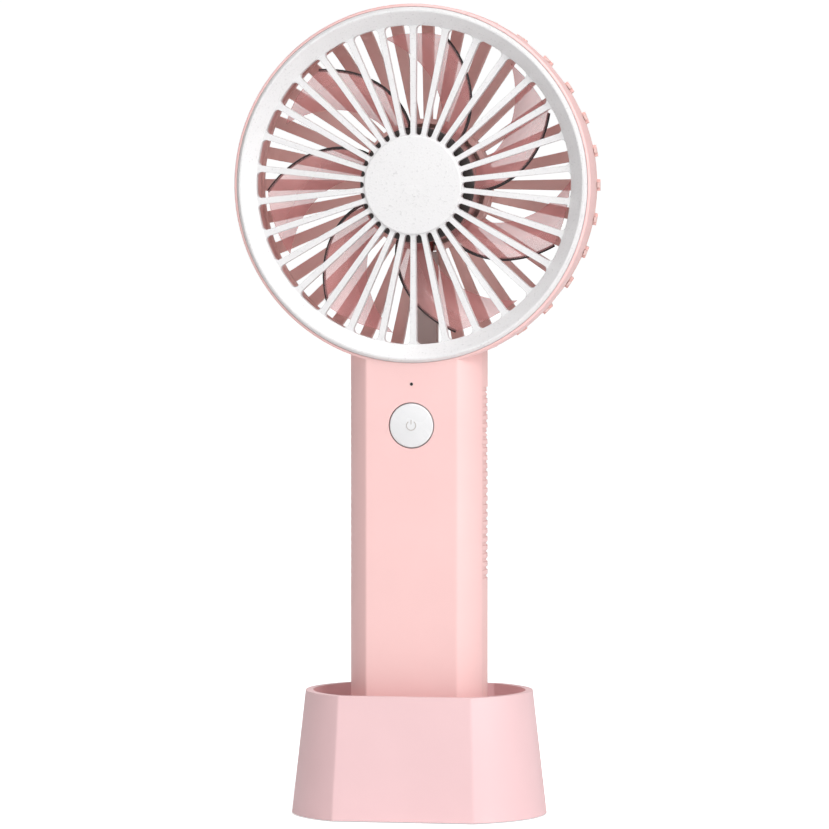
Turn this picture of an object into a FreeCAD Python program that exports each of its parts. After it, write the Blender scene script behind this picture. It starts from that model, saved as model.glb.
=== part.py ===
"""Handheld electric fan standing in its dock, as a parametric assembly.

Millimetres. +Z is up, the grille faces -Y, and the origin is the middle of the dock's footprint on the table.
The parts of the head are drawn in the head's own frame: its origin is the middle of the head, its Z axis runs
backwards (world +Y), its X is world X and its Y is world -Z.
"""
import FreeCAD, Part
import math
import os
import re
import Sketcher
from FreeCAD import Placement, Rotation, Vector

SIZES = {
    # The whole fan
    "head_radius": 48.5,
    "head_above_led": 4.85,
    "parting": -4.0,                # the plane, along Y, where the front and rear shells meet
    "parting_gap": 0.1,
    "shell_wall": 1.8,
    # The handle: flat in front and behind, with bowed sides
    "handle_half_width": 18.55,
    "facet_step": 6.15,             # how far the flat faces stop short of the half width
    "cell_room": 0.35,              # between the battery and the rear shell
    "neck_overlap": 3.0,            # how far the handle runs up into the head
    "overcut": 1.0,                 # how far a cut runs past the face it opens
    "handle_bottom": 5.5,
    "crease_soft": 0.4,             # how far the creases' rounding reaches each way
    "grip_start": 64.0,
    "grip_pitch": 2.2,
    "grip_groove": 1.0,
    "grip_depth": 0.35,
    "grip_count": 24,
    # The dock
    "foot_height": 0.3,
    "dock_height": 33.5,
    "dock_top_half_width": 30.8,
    "dock_top_half_depth": 23.3,
    "dock_top_facet": 17.9,
    "dock_low_half_width": 34.6,
    "dock_low_half_depth": 26.0,
    "dock_low_facet": 19.2,
    "dock_wall": 2.0,
    "tray_depth": 9.0,
    "well_clearance": 0.35,
    "well_wall": 1.8,
    "plate_thickness": 2.2,
    "plate_clearance": 0.5,
    "plate_lift": 0.2,              # the base plate above the skirt's lower edge
    "dock_screw_across": 24.0,
    "dock_screw_along": 10.0,
    "foot_across": 15.0,
    "foot_along": 17.5,
    "foot_radius": 4.5,
    "foot_recess": 0.7,
    "foot_clearance": 0.1,
    # Screws
    "screw_radius": 1.1,
    "screw_head_radius": 2.1,
    "screw_head_height": 1.3,
    "screw_length": 8.0,
    "screw_clearance": 0.15,
    "screw_slot_width": 0.5,
    "slot_share": 0.6,              # how far a screw's cross reaches out and down in its head
    "board_screw_radius": 0.7,
    "board_screw_head_radius": 1.4,
    "board_screw_head_height": 0.9,
    "board_screw_length": 4.0,
    "board_screw_across": 7.4,
    "low_screw_above_charger": 5.18,
    "high_screw_below_led": 0.8,
    "post_radius": 1.9,
    "pilot_gap": 0.05,
    "screw_from_side": 9.55,
    "boss_meeting": 6.0,            # where, along Y, the front and rear shells' bosses meet
    "boss_radius": 2.8,
    # The head's ring and the grille in it, along the head's own axis
    "crest": -13.4,                 # the foremost edge of the grille's rim
    "crest_inset": 0.95,
    "crest_width": 0.5,
    "crest_soft": 0.2,
    "rim_front": -12.5,
    "rim_seat": -10.9,
    "seat_gap": 0.1,
    "ring_front": -12.4,            # the foremost edge of the front shell's ring
    "ring_clearance": 0.1,
    "ring_wall": 0.8,               # the front shell outside the grille's rim
    "ledge_width": 0.85,            # the ledge that the rim sits on
    "ring_round": 0.6,
    "spoke_front": -9.9,
    "spoke_thickness": 2.2,
    "spoke_count": 30,
    "spoke_inner_width": 1.4,
    "spoke_outer_width": 1.8,
    "slot_inner": 13.3,
    "slot_corner": 1.2,
    "dish_width": 3.85,             # from the ends of the slots out to the crest
    "skirt_clearance": 0.2,
    "skirt_wall": 1.5,
    "skirt_end": -5.2,
    "lug_count": 3,
    "lug_half_angle": 5.0,
    "lug_front": -7.8,
    "lug_rear": -6.2,
    "lug_reach": 0.9,               # how far a lug stands out of the skirt
    "lug_clearance": 0.2,
    "lug_play_angle": 1.0,
    "lug_unlock": 15.0,
    "slot_inner_round": 0.75,
    "cap_inset": 0.05,
    "cap_height": 0.7,
    "cap_dome": 0.25,
    "cap_peg_radius": 2.0,
    "cap_peg_fit": 0.02,
    # Impeller and motor
    "hub_radius": 15.6,
    "hub_front": -3.7,
    "hub_rear": 8.4,
    "hub_wall": 1.3,
    "cap_thickness": 1.4,
    "blade_count": 7,
    "tip_clearance": 4.25,          # between the blades' tips and the skirt
    "blade_front": -4.4,
    "blade_rear": 3.4,
    "blade_thickness": 1.1,
    "blade_span_angle": 25.0,       # how much of the circle one blade covers
    "blade_sweep": 36.0,            # how far the blade's tip is turned on from its root
    "blade_curl": 1.35,             # above 1, the sweep grows faster towards the tip
    "blade_start": 6.0,             # where the first blade leaves the hub
    "blade_arch": -0.8,
    "press_gap": 0.01,
    "clip_rear": 11.6,
    "clip_thickness": 0.5,
    "rear_bearing_front": 8.3,
    "motor_board_front": 9.3,
    "coil_gap": 0.05,
    "yoke_wall": 0.8,
    "magnet_wall": 1.4,
    "air_gap": 0.5,
    "stator_front": 1.6,
    "stator_rear": 6.4,
    "stator_teeth": 9,
    "tooth_width": 2.2,
    "coil_wall": 0.9,
    "tube_outer": 4.0,
    "tube_inner": 3.0,
    "tube_overhang": 0.4,           # the bearing tube in front of the core
    "tube_shoulder": 0.6,
    "spacer_radius": 2.2,
    "spacer_gap": 0.2,
    "magnet_overhang": 0.6,
    "shaft_end": 0.6,               # the shaft behind its clip
    "clip_radius": 1.8,
    "core_wall": 2.0,
    "tooth_sunk": 0.5,              # how far a tooth runs into the core and the shoe
    "shoe_depth": 1.0,
    "shoe_share": 150.0,            # the shoes' half angle times their count
    "coil_inset": 0.5,
    "coil_shoe_gap": 0.3,
    "motor_board_inset": 0.8,
    "motor_board_gap": 0.2,
    "shaft_radius": 1.0,
    "running_fit": 0.02,
    "bearing_width": 2.5,
    "board_thickness": 1.2,
    # Rear grille
    "rear_plane": 15.5,
    "rib_depth": 2.5,
    "rib_width": 3.2,               # at the rim
    "rib_inner_width": 2.2,         # at the cup
    "rib_count": 32,
    "rib_proud": 0.9,
    "rib_hook": 6.0,
    "rib_clearance": 0.15,
    "ring_rear": 9.0,
    "wall_taper": 1.4,              # how much narrower the head is behind than at the parting
    "rear_round": 6.0,
    "cup_reach": 2.4,               # the rear cup outside the impeller's hub
    "cup_wall": 1.4,
    "tube_socket_wall": 1.6,
    "cup_front": 9.0,
    "ring_width": 2.4,
    "ring_depth": 2.2,
    "duct_width": 6.6,
    "duct_wall": 0.9,
    "duct_depth": 3.6,
    "duct_front": 8.0,
    "duct_end_gap": 0.1,
    "hook_width": 1.4,
    "hook_toe": 0.15,               # how thick a rib's front end is, where it lies on the head's wall
    "hook_ramp": 2.2,
    "ring_inset": 0.2,
    # Electronics in the handle
    "button_above_socket": 18.58,
    "button_radius": 5.95,
    "button_gap": 0.25,
    "button_crown": 0.55,
    "button_soft": 0.4,
    "button_flange": 0.8,
    "button_lip": 1.0,
    "button_rest": 0.1,
    "plunger_length": 1.8,
    "plunger_room": 1.2,
    "led_above_button": 11.1,
    "led_radius": 0.45,
    "battery_radius": 9.15,
    "battery_length": 65.0,
    "cell_gap": 0.3,
    "battery_offset": 1.0,
    "control_board_width": 20.0,
    "board_above_led": 3.2,
    "switch_side": 6.0,
    "switch_depth": 3.1,
    "plunger_radius": 1.7,
    "plunger_clearance": 0.1,
    "charge_board_width": 15.0,
    "board_gap": 0.3,
    "socket_wall": 0.3,
    "socket_sunk": 0.2,
    "socket_back": 1.0,             # the closed end behind the socket's mouth
    "tongue_inset": 1.0,
    "tongue_root": 0.5,
    "tongue_width": 6.7,
    "tongue_height": 0.7,
    "pin_pitch": 2.5,
    "pin_side": 0.6,
    "pin_length": 2.5,
    "switch_floor": 1.0,
    "led_side": 1.6,
    "led_depth": 0.8,
    "led_sunk": 0.1,
    "pipe_foot_radius": 1.35,
    "chip_side": 5.0,
    "chip_height": 1.2,
    "chip_from_middle": 1.0,
    "inductor_side": 5.2,
    "inductor_height": 2.6,
    "inductor_from_middle": 1.0,
    "capacitor_radius": 2.5,
    "capacitor_height": 5.4,
    "capacitor_across": 3.5,
    "capacitor_below_button": 9.0,
    "tab_width": 5.0,
    "tab_length": 12.0,
    "tab_front": -7.6,
    "tab_thickness": 0.15,
    "foam_width": 9.0,
    "cell_edge": 0.6,
    "cell_button_radius": 2.8,
    "cell_button_height": 0.6,
    "socket_width": 8.94,
    "socket_height": 3.2,
    "socket_depth": 7.3,
    "socket_gap": 0.15,
    "lead_radius": 0.6,
    "lead_depth": 9.6,              # where, along Y, the motor's leads run down
    "lead_hole_half": 2.6,
    "lead_spacing": 1.5,
    "lead_above_button": 5.8,
    "lead_rise": 6.0,
    "lead_reach": 5.0,
    "negative_clear": 1.4,          # the negative lead beside the cell
    "negative_gap": 0.6,
    "negative_start_depth": -1.25,
    "negative_low_depth": -3.5,
    "negative_depth": -4.5,
    "negative_bend": 11.0,
    "negative_above_boss": 5.0,
    "negative_end": 12.0,
}

FOLLOWS = {
    # Up the handle: each piece stands on the one below it, and the head stands over the light
    "low_screw": "handle_bottom + shell_wall + boss_radius + parting_gap",
    "battery_low": "low_screw + boss_radius + tab_thickness + 2 * press_gap",
    "battery_top": "battery_low + battery_length",
    "mid_screw": "battery_top + boss_radius + cell_gap",
    "charger_low": "mid_screw + boss_radius + seat_gap / 2",
    "charger_top": "charger_low + board_thickness",
    "socket_level": "charger_top + seat_gap / 2 + socket_height / 2",
    "board_screw_low": "charger_top + low_screw_above_charger",
    "button_height": "socket_level + button_above_socket",
    "lead_landing": "button_height + lead_above_button",
    "led_height": "button_height + led_above_button",
    "board_screw_high": "led_height - high_screw_below_led",
    "head_height": "led_height + head_above_led + head_radius",
    "neck_top": "head_height - ring_inner + neck_overlap",
    "neck_ceiling": "head_height - head_radius - shell_wall",
    # Through the handle: it closes round the battery, and the board stands behind the button's plunger
    "handle_half_depth": "shell_wall + cell_room + battery_radius + battery_offset",
    "handle_facet": "handle_half_width - facet_step",
    "shell_screw_across": "handle_half_width - screw_from_side",
    "inner_face": "-handle_half_depth + shell_wall",
    "flange_front": "inner_face + button_rest",
    "flange_rear": "flange_front + button_flange",
    "control_board_front": "flange_rear + plunger_length + plunger_room + switch_floor",
    "control_board_rear": "control_board_front + board_thickness",
    # Across the head, inwards from its rim
    "rim_radius": "head_radius - ring_wall - ring_clearance",
    "ring_inner": "rim_radius - ledge_width",
    "crest_radius": "rim_radius - crest_inset",
    "slot_outer": "crest_radius - dish_width",
    "skirt_radius": "ring_inner - skirt_clearance",
    "lug_radius": "skirt_radius + lug_reach",
    "blade_tip": "skirt_radius - skirt_wall - tip_clearance",
    "rear_radius": "head_radius - wall_taper",
    "rear_hub_radius": "hub_radius + cup_reach",
    "cap_radius": "slot_inner - cap_inset",
    # Through the motor
    "spoke_rear": "spoke_front + spoke_thickness",
    "hub_face": "hub_front + cap_thickness",
    "yoke_radius": "hub_radius - hub_wall",
    "yoke_front": "hub_face + hub_wall",
    "magnet_radius": "yoke_radius - yoke_wall",
    "stator_radius": "magnet_radius - magnet_wall - air_gap",
    "tube_front": "stator_front - tube_overhang",
    "tube_rear": "rear_plane - rib_depth",
    "motor_board_radius": "hub_radius - motor_board_inset",
    "motor_board_rear": "motor_board_front + board_thickness",
    # Down the dock
    "plate_low": "foot_height + plate_lift",
    "plate_top": "plate_low + plate_thickness",
    "tray_floor": "dock_height - tray_depth",
}

doc = FreeCAD.newDocument("HandheldFan")
sheet = doc.addObject("Spreadsheet::Sheet", "Sizes")
for row, (alias, number) in enumerate(SIZES.items(), start=1):
    sheet.set(f"A{row}", alias)
    sheet.set(f"B{row}", str(number))
    sheet.setAlias(f"B{row}", alias)
doc.recompute()

PARTS = []
HEAD_TURN = Rotation(Vector(1, 0, 0), -90)


# Helpers for expressions, sketches and features


def named(expression):
    """The expression with what follows written out, and each size pointed at the sheet."""
    def pointed(word):
        name = word[0]
        if name in FOLLOWS:
            return f"({named(FOLLOWS[name])})"
        return f"Sizes.{name}" if name in SIZES else name
    return re.sub(r"[a-z]\w*", pointed, expression)


def size(expression):
    """What an expression of sizes comes to now."""
    found = sheet.evalExpression(named(expression).replace("Sizes.", ""))
    return float(getattr(found, "Value", found))


def bind(thing, prop, expression):
    thing.setExpression(prop, named(str(expression)))


def new_body(label, in_head=False):
    """An empty body, listed for export. In the head's frame it sits on the head's axis."""
    body = doc.addObject("PartDesign::Body", label)
    body.Label = label
    body.AllowCompound = True
    if in_head:
        put_in_head(body)
    PARTS.append(body)
    return body


def put_in_head(thing):
    thing.Placement = Placement(Vector(0, 0, 0), HEAD_TURN)
    bind(thing, "Placement.Base.z", "head_height")


def origin_feature(body, role):
    return next(feature for feature in body.Origin.OriginFeatures if feature.Role == role)


def place_vertex(sketch, geometry, end, point):
    """Hold one end of a line or arc at a point given by two expressions."""
    for kind, expression in zip(("DistanceX", "DistanceY"), point):
        row = sketch.addConstraint(Sketcher.Constraint(kind, -1, 1, geometry, end, size(expression)))
        bind(sketch, f"Constraints[{row}]", expression)


def arc_middle(start, finish, radius):
    """The middle of the shorter arc from start to finish. It bulges to the right for a positive radius."""
    chord = finish - start
    half = chord.Length / 2
    rise = abs(radius) - math.sqrt(max(radius * radius - half * half, 0))
    side = Vector(chord.y, -chord.x, 0).normalize()
    return (start + finish) * 0.5 + side * math.copysign(rise, radius)


def draw_loop(sketch, points):
    """Draw one closed loop.

    A point is (x, y), or (x, y, radius) where the edge that leaves it is an arc.
    """
    corners = [Vector(size(point[0]), size(point[1]), 0) for point in points]
    ends = []
    for index, point in enumerate(points):
        start = corners[index]
        finish = corners[(index + 1) % len(points)]
        if len(point) == 2:
            edge = sketch.addGeometry(Part.LineSegment(start, finish), False)
            ends.append((edge, 1, 2))
        else:
            radius = size(point[2])
            middle = arc_middle(start, finish, radius)
            edge = sketch.addGeometry(Part.Arc(start, middle, finish), False)
            ends.append((edge, 1, 2) if radius > 0 else (edge, 2, 1))
            row = sketch.addConstraint(Sketcher.Constraint("Radius", edge, abs(radius)))
            bind(sketch, f"Constraints[{row}]", f"abs({point[2]})")
    for index, (edge, first, last) in enumerate(ends):
        after = ends[(index + 1) % len(ends)]
        sketch.addConstraint(Sketcher.Constraint("Coincident", edge, last, after[0], after[1]))
        place_vertex(sketch, edge, first, points[index][:2])


def draw_circle(sketch, across, along, radius):
    circle = Part.Circle(Vector(size(across), size(along), 0), Vector(0, 0, 1), size(radius))
    edge = sketch.addGeometry(circle, False)
    row = sketch.addConstraint(Sketcher.Constraint("Radius", edge, size(radius)))
    bind(sketch, f"Constraints[{row}]", radius)
    place_vertex(sketch, edge, 3, (across, along))


def new_sketch(body, name, plane, loops, offset="0"):
    """A sketch on one of the body's origin planes.

    A loop is a list of points, or (x, y, radius) for a circle.
    """
    sketch = body.newObject("Sketcher::SketchObject", f"{body.Name}_{name}_sketch")
    sketch.AttachmentSupport = (origin_feature(body, plane), [""])
    sketch.MapMode = "FlatFace"
    bind(sketch, "AttachmentOffset.Base.z", offset)
    for loop in loops:
        if isinstance(loop, list):
            draw_loop(sketch, loop)
        else:
            draw_circle(sketch, *loop)
    return sketch


def finish_feature(body, feature, cut):
    """Recompute, and check that a cut removed something and an addition added something."""
    before = body.Shape.Volume if body.Shape and not body.Shape.isNull() else 0.0
    body.Tip = feature
    doc.recompute()
    after = body.Shape.Volume
    if "Invalid" in feature.State or (after >= before if cut else after <= before):
        raise ValueError(f"{feature.Name} changed nothing or failed: {feature.State}")
    return feature


def extrude(body, name, plane, loops, low, high, cut=False):
    """Pad or pocket loops from low to high along X, Y or Z."""
    offset = f"-({high})" if plane == "XZ_Plane" else low
    sketch = new_sketch(body, name, plane, loops, offset)
    feature = body.newObject("PartDesign::Pocket" if cut else "PartDesign::Pad", f"{body.Name}_{name}")
    feature.Profile = sketch
    feature.Reversed = cut
    feature.Length = size(f"({high}) - ({low})")
    bind(feature, "Length", f"({high}) - ({low})")
    return finish_feature(body, feature, cut)


def turn(body, name, loops, cut=False):
    """Revolve or groove loops drawn as (radius, height) about the body's own Z axis."""
    sketch = new_sketch(body, name, "XZ_Plane", loops)
    feature = body.newObject("PartDesign::Groove" if cut else "PartDesign::Revolution", f"{body.Name}_{name}")
    feature.Profile = sketch
    feature.ReferenceAxis = (sketch, ["V_Axis"])
    feature.Angle = 360
    return finish_feature(body, feature, cut)


def turn_about_head(body, name, loops, cut=False):
    """Revolve or groove loops drawn as (y, z) about the head's axis, in an upright body."""
    sketch = new_sketch(body, name, "YZ_Plane", loops)
    axis = sketch.addGeometry(Part.LineSegment(Vector(0, size("head_height"), 0),
                                               Vector(10, size("head_height"), 0)), True)
    sketch.addConstraint(Sketcher.Constraint("Horizontal", axis))
    place_vertex(sketch, axis, 1, ("0", "head_height"))
    feature = body.newObject("PartDesign::Groove" if cut else "PartDesign::Revolution", f"{body.Name}_{name}")
    feature.Profile = sketch
    feature.ReferenceAxis = (sketch, ["Axis0"])
    feature.Angle = 360
    return finish_feature(body, feature, cut)


def polar(body, name, features, count, axis="Z_Axis"):
    """Repeat features evenly round one of the body's axes."""
    pattern = body.newObject("PartDesign::PolarPattern", f"{body.Name}_{name}")
    pattern.Originals = features
    pattern.Axis = (origin_feature(body, axis), [""])
    pattern.Angle = 360
    bind(pattern, "Occurrences", count)
    body.Tip = pattern
    doc.recompute()
    return pattern


def loft(body, name, sections, cut=False):
    """Loft between (loop, height) sections that lie across Z."""
    sketches = [new_sketch(body, f"{name}_{number}", "XY_Plane", [loop], height)
                for number, (loop, height) in enumerate(sections)]
    kind = "PartDesign::SubtractiveLoft" if cut else "PartDesign::AdditiveLoft"
    feature = body.newObject(kind, f"{body.Name}_{name}")
    feature.Profile = sketches[0]
    feature.Sections = sketches[1:]
    feature.Ruled = True
    return finish_feature(body, feature, cut)


def rectangle(left, low, right, high):
    return [(left, low), (right, low), (right, high), (left, high)]


def bowed_loop(half_width, half_depth, facet):
    """The handle's and dock's outline: flat in front and behind, with soft creases and bowed sides."""
    rise = f"(({half_width}) - ({facet}))"
    bow = f"(({rise} ^ 2 + ({half_depth}) ^ 2) / (2 * {rise}))"
    flat = f"(({facet}) - crease_soft)"
    across = f"(({facet}) + crease_soft * ({half_depth}) / {bow})"
    along = f"(({half_depth}) - crease_soft * (1 - {rise} / {bow}))"
    crease = f"(crease_soft * ({bow} + ({half_depth})) / ({bow} - {rise}))"
    side = f"((({half_width}) - {across}) / 2 + {along} ^ 2 / (2 * (({half_width}) - {across})))"
    return [(flat, f"-({half_depth})", crease), (across, f"-{along}", side),
            (across, along, crease), (flat, half_depth),
            (f"-{flat}", half_depth, crease), (f"-{across}", along, side),
            (f"-{across}", f"-{along}", crease), (f"-{flat}", f"-({half_depth})")]


def dock_outline(height, inset="0"):
    """The dock's outline at a height, drawn in from its outer face by an inset."""
    share = f"((({height}) - foot_height) / (dock_height - foot_height))"
    half_width = f"(dock_low_half_width + (dock_top_half_width - dock_low_half_width) * {share} - ({inset}))"
    half_depth = f"(dock_low_half_depth + (dock_top_half_depth - dock_low_half_depth) * {share} - ({inset}))"
    facet = f"(dock_low_facet + (dock_top_facet - dock_low_facet) * {share} - ({inset}) / 2)"
    return bowed_loop(half_width, half_depth, facet)


def handle_outline(inset="0"):
    """The handle's outline, drawn in from its outer face by an inset."""
    return bowed_loop(f"handle_half_width - ({inset})", f"handle_half_depth - ({inset})",
                      f"handle_facet - ({inset}) / 2")


def corners(across, along):
    """The four places that mirror one another about the middle."""
    return [(f"{sign_x}({across})", f"{sign_y}({along})") for sign_x in ("", "-") for sign_y in ("", "-")]


def circles(places, radius):
    return [(across, along, radius) for across, along in places]


# The dock

DOCK_SCREWS = corners("dock_screw_across", "dock_screw_along")
DOCK_FEET = corners("foot_across", "foot_along")


def make_dock_shell():
    """A tapered skirt with a sunken tray, and a well in the tray that the handle stands in."""
    body = new_body("dock_shell")
    loft(body, "skirt", [(dock_outline("foot_height"), "foot_height"),
                         (dock_outline("dock_height"), "dock_height")])
    ceiling = "(tray_floor - dock_wall)"
    loft(body, "underside", [(dock_outline("foot_height", "dock_wall"), "foot_height"),
                             (dock_outline(ceiling, "dock_wall"), ceiling)], cut=True)
    loft(body, "tray", [(dock_outline("tray_floor", "dock_wall"), "tray_floor"),
                        (dock_outline("dock_height", "dock_wall"), "dock_height")], cut=True)
    extrude(body, "well", "XY_Plane", [handle_outline("-(well_clearance + well_wall)")],
            "plate_top", "tray_floor - dock_wall / 2")
    extrude(body, "well_bore", "XY_Plane", [handle_outline("-well_clearance")],
            "handle_bottom", "dock_height", cut=True)
    for number, place in enumerate(DOCK_SCREWS):
        extrude(body, f"boss_{number}", "XY_Plane", [(*place, "boss_radius")],
                "plate_top", "tray_floor - dock_wall / 2")
    extrude(body, "pilot_holes", "XY_Plane", circles(DOCK_SCREWS, "screw_radius + pilot_gap"),
            "plate_top", "plate_top + screw_length", cut=True)


def make_dock_base_plate():
    body = new_body("dock_base_plate")
    outline = dock_outline("foot_height", "dock_wall + plate_clearance")
    extrude(body, "plate", "XY_Plane", [outline], "plate_low", "plate_top")
    extrude(body, "screw_holes", "XY_Plane", circles(DOCK_SCREWS, "screw_radius + screw_clearance"),
            "plate_low", "plate_top", cut=True)
    extrude(body, "screw_sinks", "XY_Plane", circles(DOCK_SCREWS, "screw_head_radius + screw_clearance"),
            "plate_low", "plate_low + screw_head_height", cut=True)
    extrude(body, "foot_recesses", "XY_Plane", circles(DOCK_FEET, "foot_radius + foot_clearance"),
            "plate_low", "plate_low + foot_recess", cut=True)


def make_dock_feet():
    """Four rubber pads in shallow recesses under the base plate."""
    body = new_body("dock_feet")
    extrude(body, "pads", "XY_Plane", circles(DOCK_FEET, "foot_radius"), "0", "plate_low + foot_recess")


def make_screws(label, places, seat, plane, inward, kind="screw"):
    """A group of screws. seat is where their heads bear, and inward the sign of the way they point."""
    body = new_body(label)
    head_far = f"({seat}) - ({inward}) * {kind}_head_height"
    tip = f"({seat}) + ({inward}) * {kind}_length"
    low_head, high_head = (head_far, seat) if inward > 0 else (seat, head_far)
    low_shank, high_shank = (seat, tip) if inward > 0 else (tip, seat)
    extrude(body, "heads", plane, circles(places, f"{kind}_head_radius"), low_head, high_head)
    extrude(body, "shanks", plane, circles(places, f"{kind}_radius"), low_shank, high_shank)
    wide, narrow = f"{kind}_head_radius * slot_share", "screw_slot_width / 2"
    for name, across, along in (("slots", wide, narrow), ("cross_slots", narrow, wide)):
        loops = [rectangle(f"{x} - {across}", f"{z} - {along}", f"{x} + {across}", f"{z} + {along}")
                 for x, z in places]
        depth = f"({head_far}) + ({inward}) * {kind}_head_height * slot_share"
        low, high = (head_far, depth) if inward > 0 else (depth, head_far)
        extrude(body, name, plane, loops, low, high, cut=True)


# The fan's two shells

SHELL_SCREWS = [("0", "low_screw"), ("shell_screw_across", "mid_screw"), ("-shell_screw_across", "mid_screw")]
BOARD_SCREWS = [("-board_screw_across", "board_screw_low"), ("board_screw_across", "board_screw_high")]
BUTTON_HOLE = ("0", "button_height", "button_radius + button_gap")
LED_HOLE = ("0", "led_height", "led_radius")


def sector_loop(inner, outer, angle, half_angle, centre="0"):
    """A piece of a ring about the point (0, centre)."""
    def point(radius, turn_by):
        place = f"({angle} + ({turn_by}))"
        return (f"({radius}) * cos({place})", f"({centre}) + ({radius}) * sin({place})")
    return [point(outer, f"-({half_angle})") + (outer,), point(outer, half_angle),
            point(inner, half_angle) + (f"-({inner})",), point(inner, f"-({half_angle})")]


def lug_angle(number):
    return f"(90 + {number} * 360 / lug_count)"


def handle_blank(body, keep_front, ceiling):
    """The handle's half shell: a bowed tube with a floor, cut at the parting plane."""
    extrude(body, "handle", "XY_Plane", [handle_outline()], "handle_bottom", "neck_top")
    extrude(body, "handle_hollow", "XY_Plane", [handle_outline("shell_wall")],
            "handle_bottom + shell_wall", ceiling, cut=True)
    far = "(handle_half_depth + overcut)"
    side = "(handle_half_width + overcut)"
    if keep_front:
        loop = rectangle(f"-{side}", "parting - parting_gap / 2", side, far)
    else:
        loop = rectangle(f"-{side}", f"-{far}", side, "parting + parting_gap / 2")
    extrude(body, "other_half", "XY_Plane", [loop], "handle_bottom", "neck_top", cut=True)


def make_front_shell():
    """The handle's front with the ring round the grille."""
    body = new_body("front_shell")
    handle_blank(body, True, "neck_top")
    edge = "parting - parting_gap / 2"
    recess = "head_height + rim_radius + ring_clearance"
    ring = [(edge, "head_height + ring_inner"), (edge, "head_height + head_radius"),
            ("ring_front + ring_round", "head_height + head_radius", "ring_round"),
            ("ring_front", "head_height + head_radius - ring_round"), ("ring_front", recess),
            ("rim_seat + seat_gap", recess), ("rim_seat + seat_gap", "head_height + ring_inner")]
    turn_about_head(body, "ring", [ring])
    bore = [("ring_front - overcut", "head_height"), (edge, "head_height"),
            (edge, "head_height + ring_inner"),
            ("rim_seat + seat_gap", "head_height + ring_inner"), ("rim_seat + seat_gap", recess),
            ("ring_front - overcut", recess)]
    turn_about_head(body, "bore", [bore], cut=True)
    track = rectangle("lug_front - lug_clearance", "head_height + ring_inner - overcut",
                      "lug_rear + lug_clearance", "head_height + lug_radius + lug_clearance")
    turn_about_head(body, "lug_track", [track], cut=True)
    for number in range(int(SIZES["lug_count"])):
        entry = sector_loop("ring_inner - overcut", "lug_radius + lug_clearance",
                            f"({lug_angle(number)} - lug_unlock)", "lug_half_angle + lug_play_angle",
                            "head_height")
        extrude(body, f"lug_entry_{number}", "XZ_Plane", [entry], "rim_seat - overcut", "lug_rear", cut=True)
    face = "-handle_half_depth"
    extrude(body, "front_holes", "XZ_Plane", [BUTTON_HOLE, LED_HOLE], f"{face} - overcut", "inner_face",
            cut=True)
    extrude(body, "bosses", "XZ_Plane", circles(SHELL_SCREWS, "boss_radius"), f"{face} + shell_wall / 2",
            "boss_meeting")
    extrude(body, "pilot_holes", "XZ_Plane", circles(SHELL_SCREWS, "screw_radius + pilot_gap"),
            "boss_meeting - screw_length / 2", "boss_meeting", cut=True)
    extrude(body, "posts", "XZ_Plane", circles(BOARD_SCREWS, "post_radius"), f"{face} + shell_wall / 2",
            "control_board_front")
    extrude(body, "post_holes", "XZ_Plane", circles(BOARD_SCREWS, "board_screw_radius + pilot_gap"),
            f"{face} + shell_wall", "control_board_front", cut=True)


def make_rear_shell():
    """The handle's back with its grip grooves, and the wall round the head."""
    body = new_body("rear_shell")
    handle_blank(body, False, "neck_ceiling")
    edge = "parting + parting_gap / 2"
    wall = [(edge, "head_height + ring_inner"), ("ring_rear", "head_height + rear_radius - shell_wall"),
            ("ring_rear", "head_height + rear_radius"), (edge, "head_height + head_radius")]
    turn_about_head(body, "wall", [wall])
    rear_bore = "head_height + rear_radius + rib_proud + rib_clearance"
    bore = [(edge, "head_height"), ("rear_plane", "head_height"), ("rear_plane", rear_bore),
            ("ring_rear", rear_bore),
            ("ring_rear", "head_height + rear_radius - shell_wall"), (edge, "head_height + ring_inner")]
    turn_about_head(body, "bore", [bore], cut=True)
    back = "handle_half_depth"
    extrude(body, "bosses", "XZ_Plane", circles(SHELL_SCREWS, "boss_radius"),
            "boss_meeting + parting_gap", f"{back} - shell_wall / 2")
    extrude(body, "screw_holes", "XZ_Plane", circles(SHELL_SCREWS, "screw_radius + screw_clearance"),
            "boss_meeting", f"{back}", cut=True)
    extrude(body, "screw_sinks", "XZ_Plane", circles(SHELL_SCREWS, "screw_head_radius + screw_clearance"),
            f"{back} - screw_head_height", f"{back}", cut=True)
    extrude(body, "lead_hole", "XY_Plane", [rectangle("-lead_hole_half", "lead_depth - lead_hole_half / 2",
            "lead_hole_half", "lead_depth + lead_hole_half / 2")],
            "neck_ceiling - overcut", "neck_top", cut=True)
    socket = slot_loop("socket_width / 2 + socket_gap", "socket_height / 2 + socket_gap", "socket_level")
    extrude(body, "socket_hole", "XZ_Plane", [socket], f"{back} - shell_wall - overcut", back, cut=True)
    grooves = []
    inset = "grip_depth"
    for side, sign in (("left", "-"), ("right", "")):
        loop = grip_loop(inset, sign)
        grooves.append(extrude(body, f"grip_{side}", "XY_Plane", [loop], "grip_start",
                               "grip_start + grip_groove", cut=True))
    rows = body.newObject("PartDesign::LinearPattern", f"{body.Name}_grip_rows")
    rows.Originals = grooves
    rows.Direction = (origin_feature(body, "Z_Axis"), [""])
    bind(rows, "Length", "grip_pitch * (grip_count - 1)")
    bind(rows, "Occurrences", "grip_count")
    finish_feature(body, rows, True)


def slot_loop(half_width, half_height, level):
    """A slot with round ends, lying across."""
    flat = f"(({half_width}) - ({half_height}))"
    bend = f"(({half_height}) * 1.00002)"
    return [(f"-{flat}", f"{level} - ({half_height})"), (flat, f"{level} - ({half_height})", bend),
            (flat, f"{level} + ({half_height})"), (f"-{flat}", f"{level} + ({half_height})", bend)]


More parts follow.
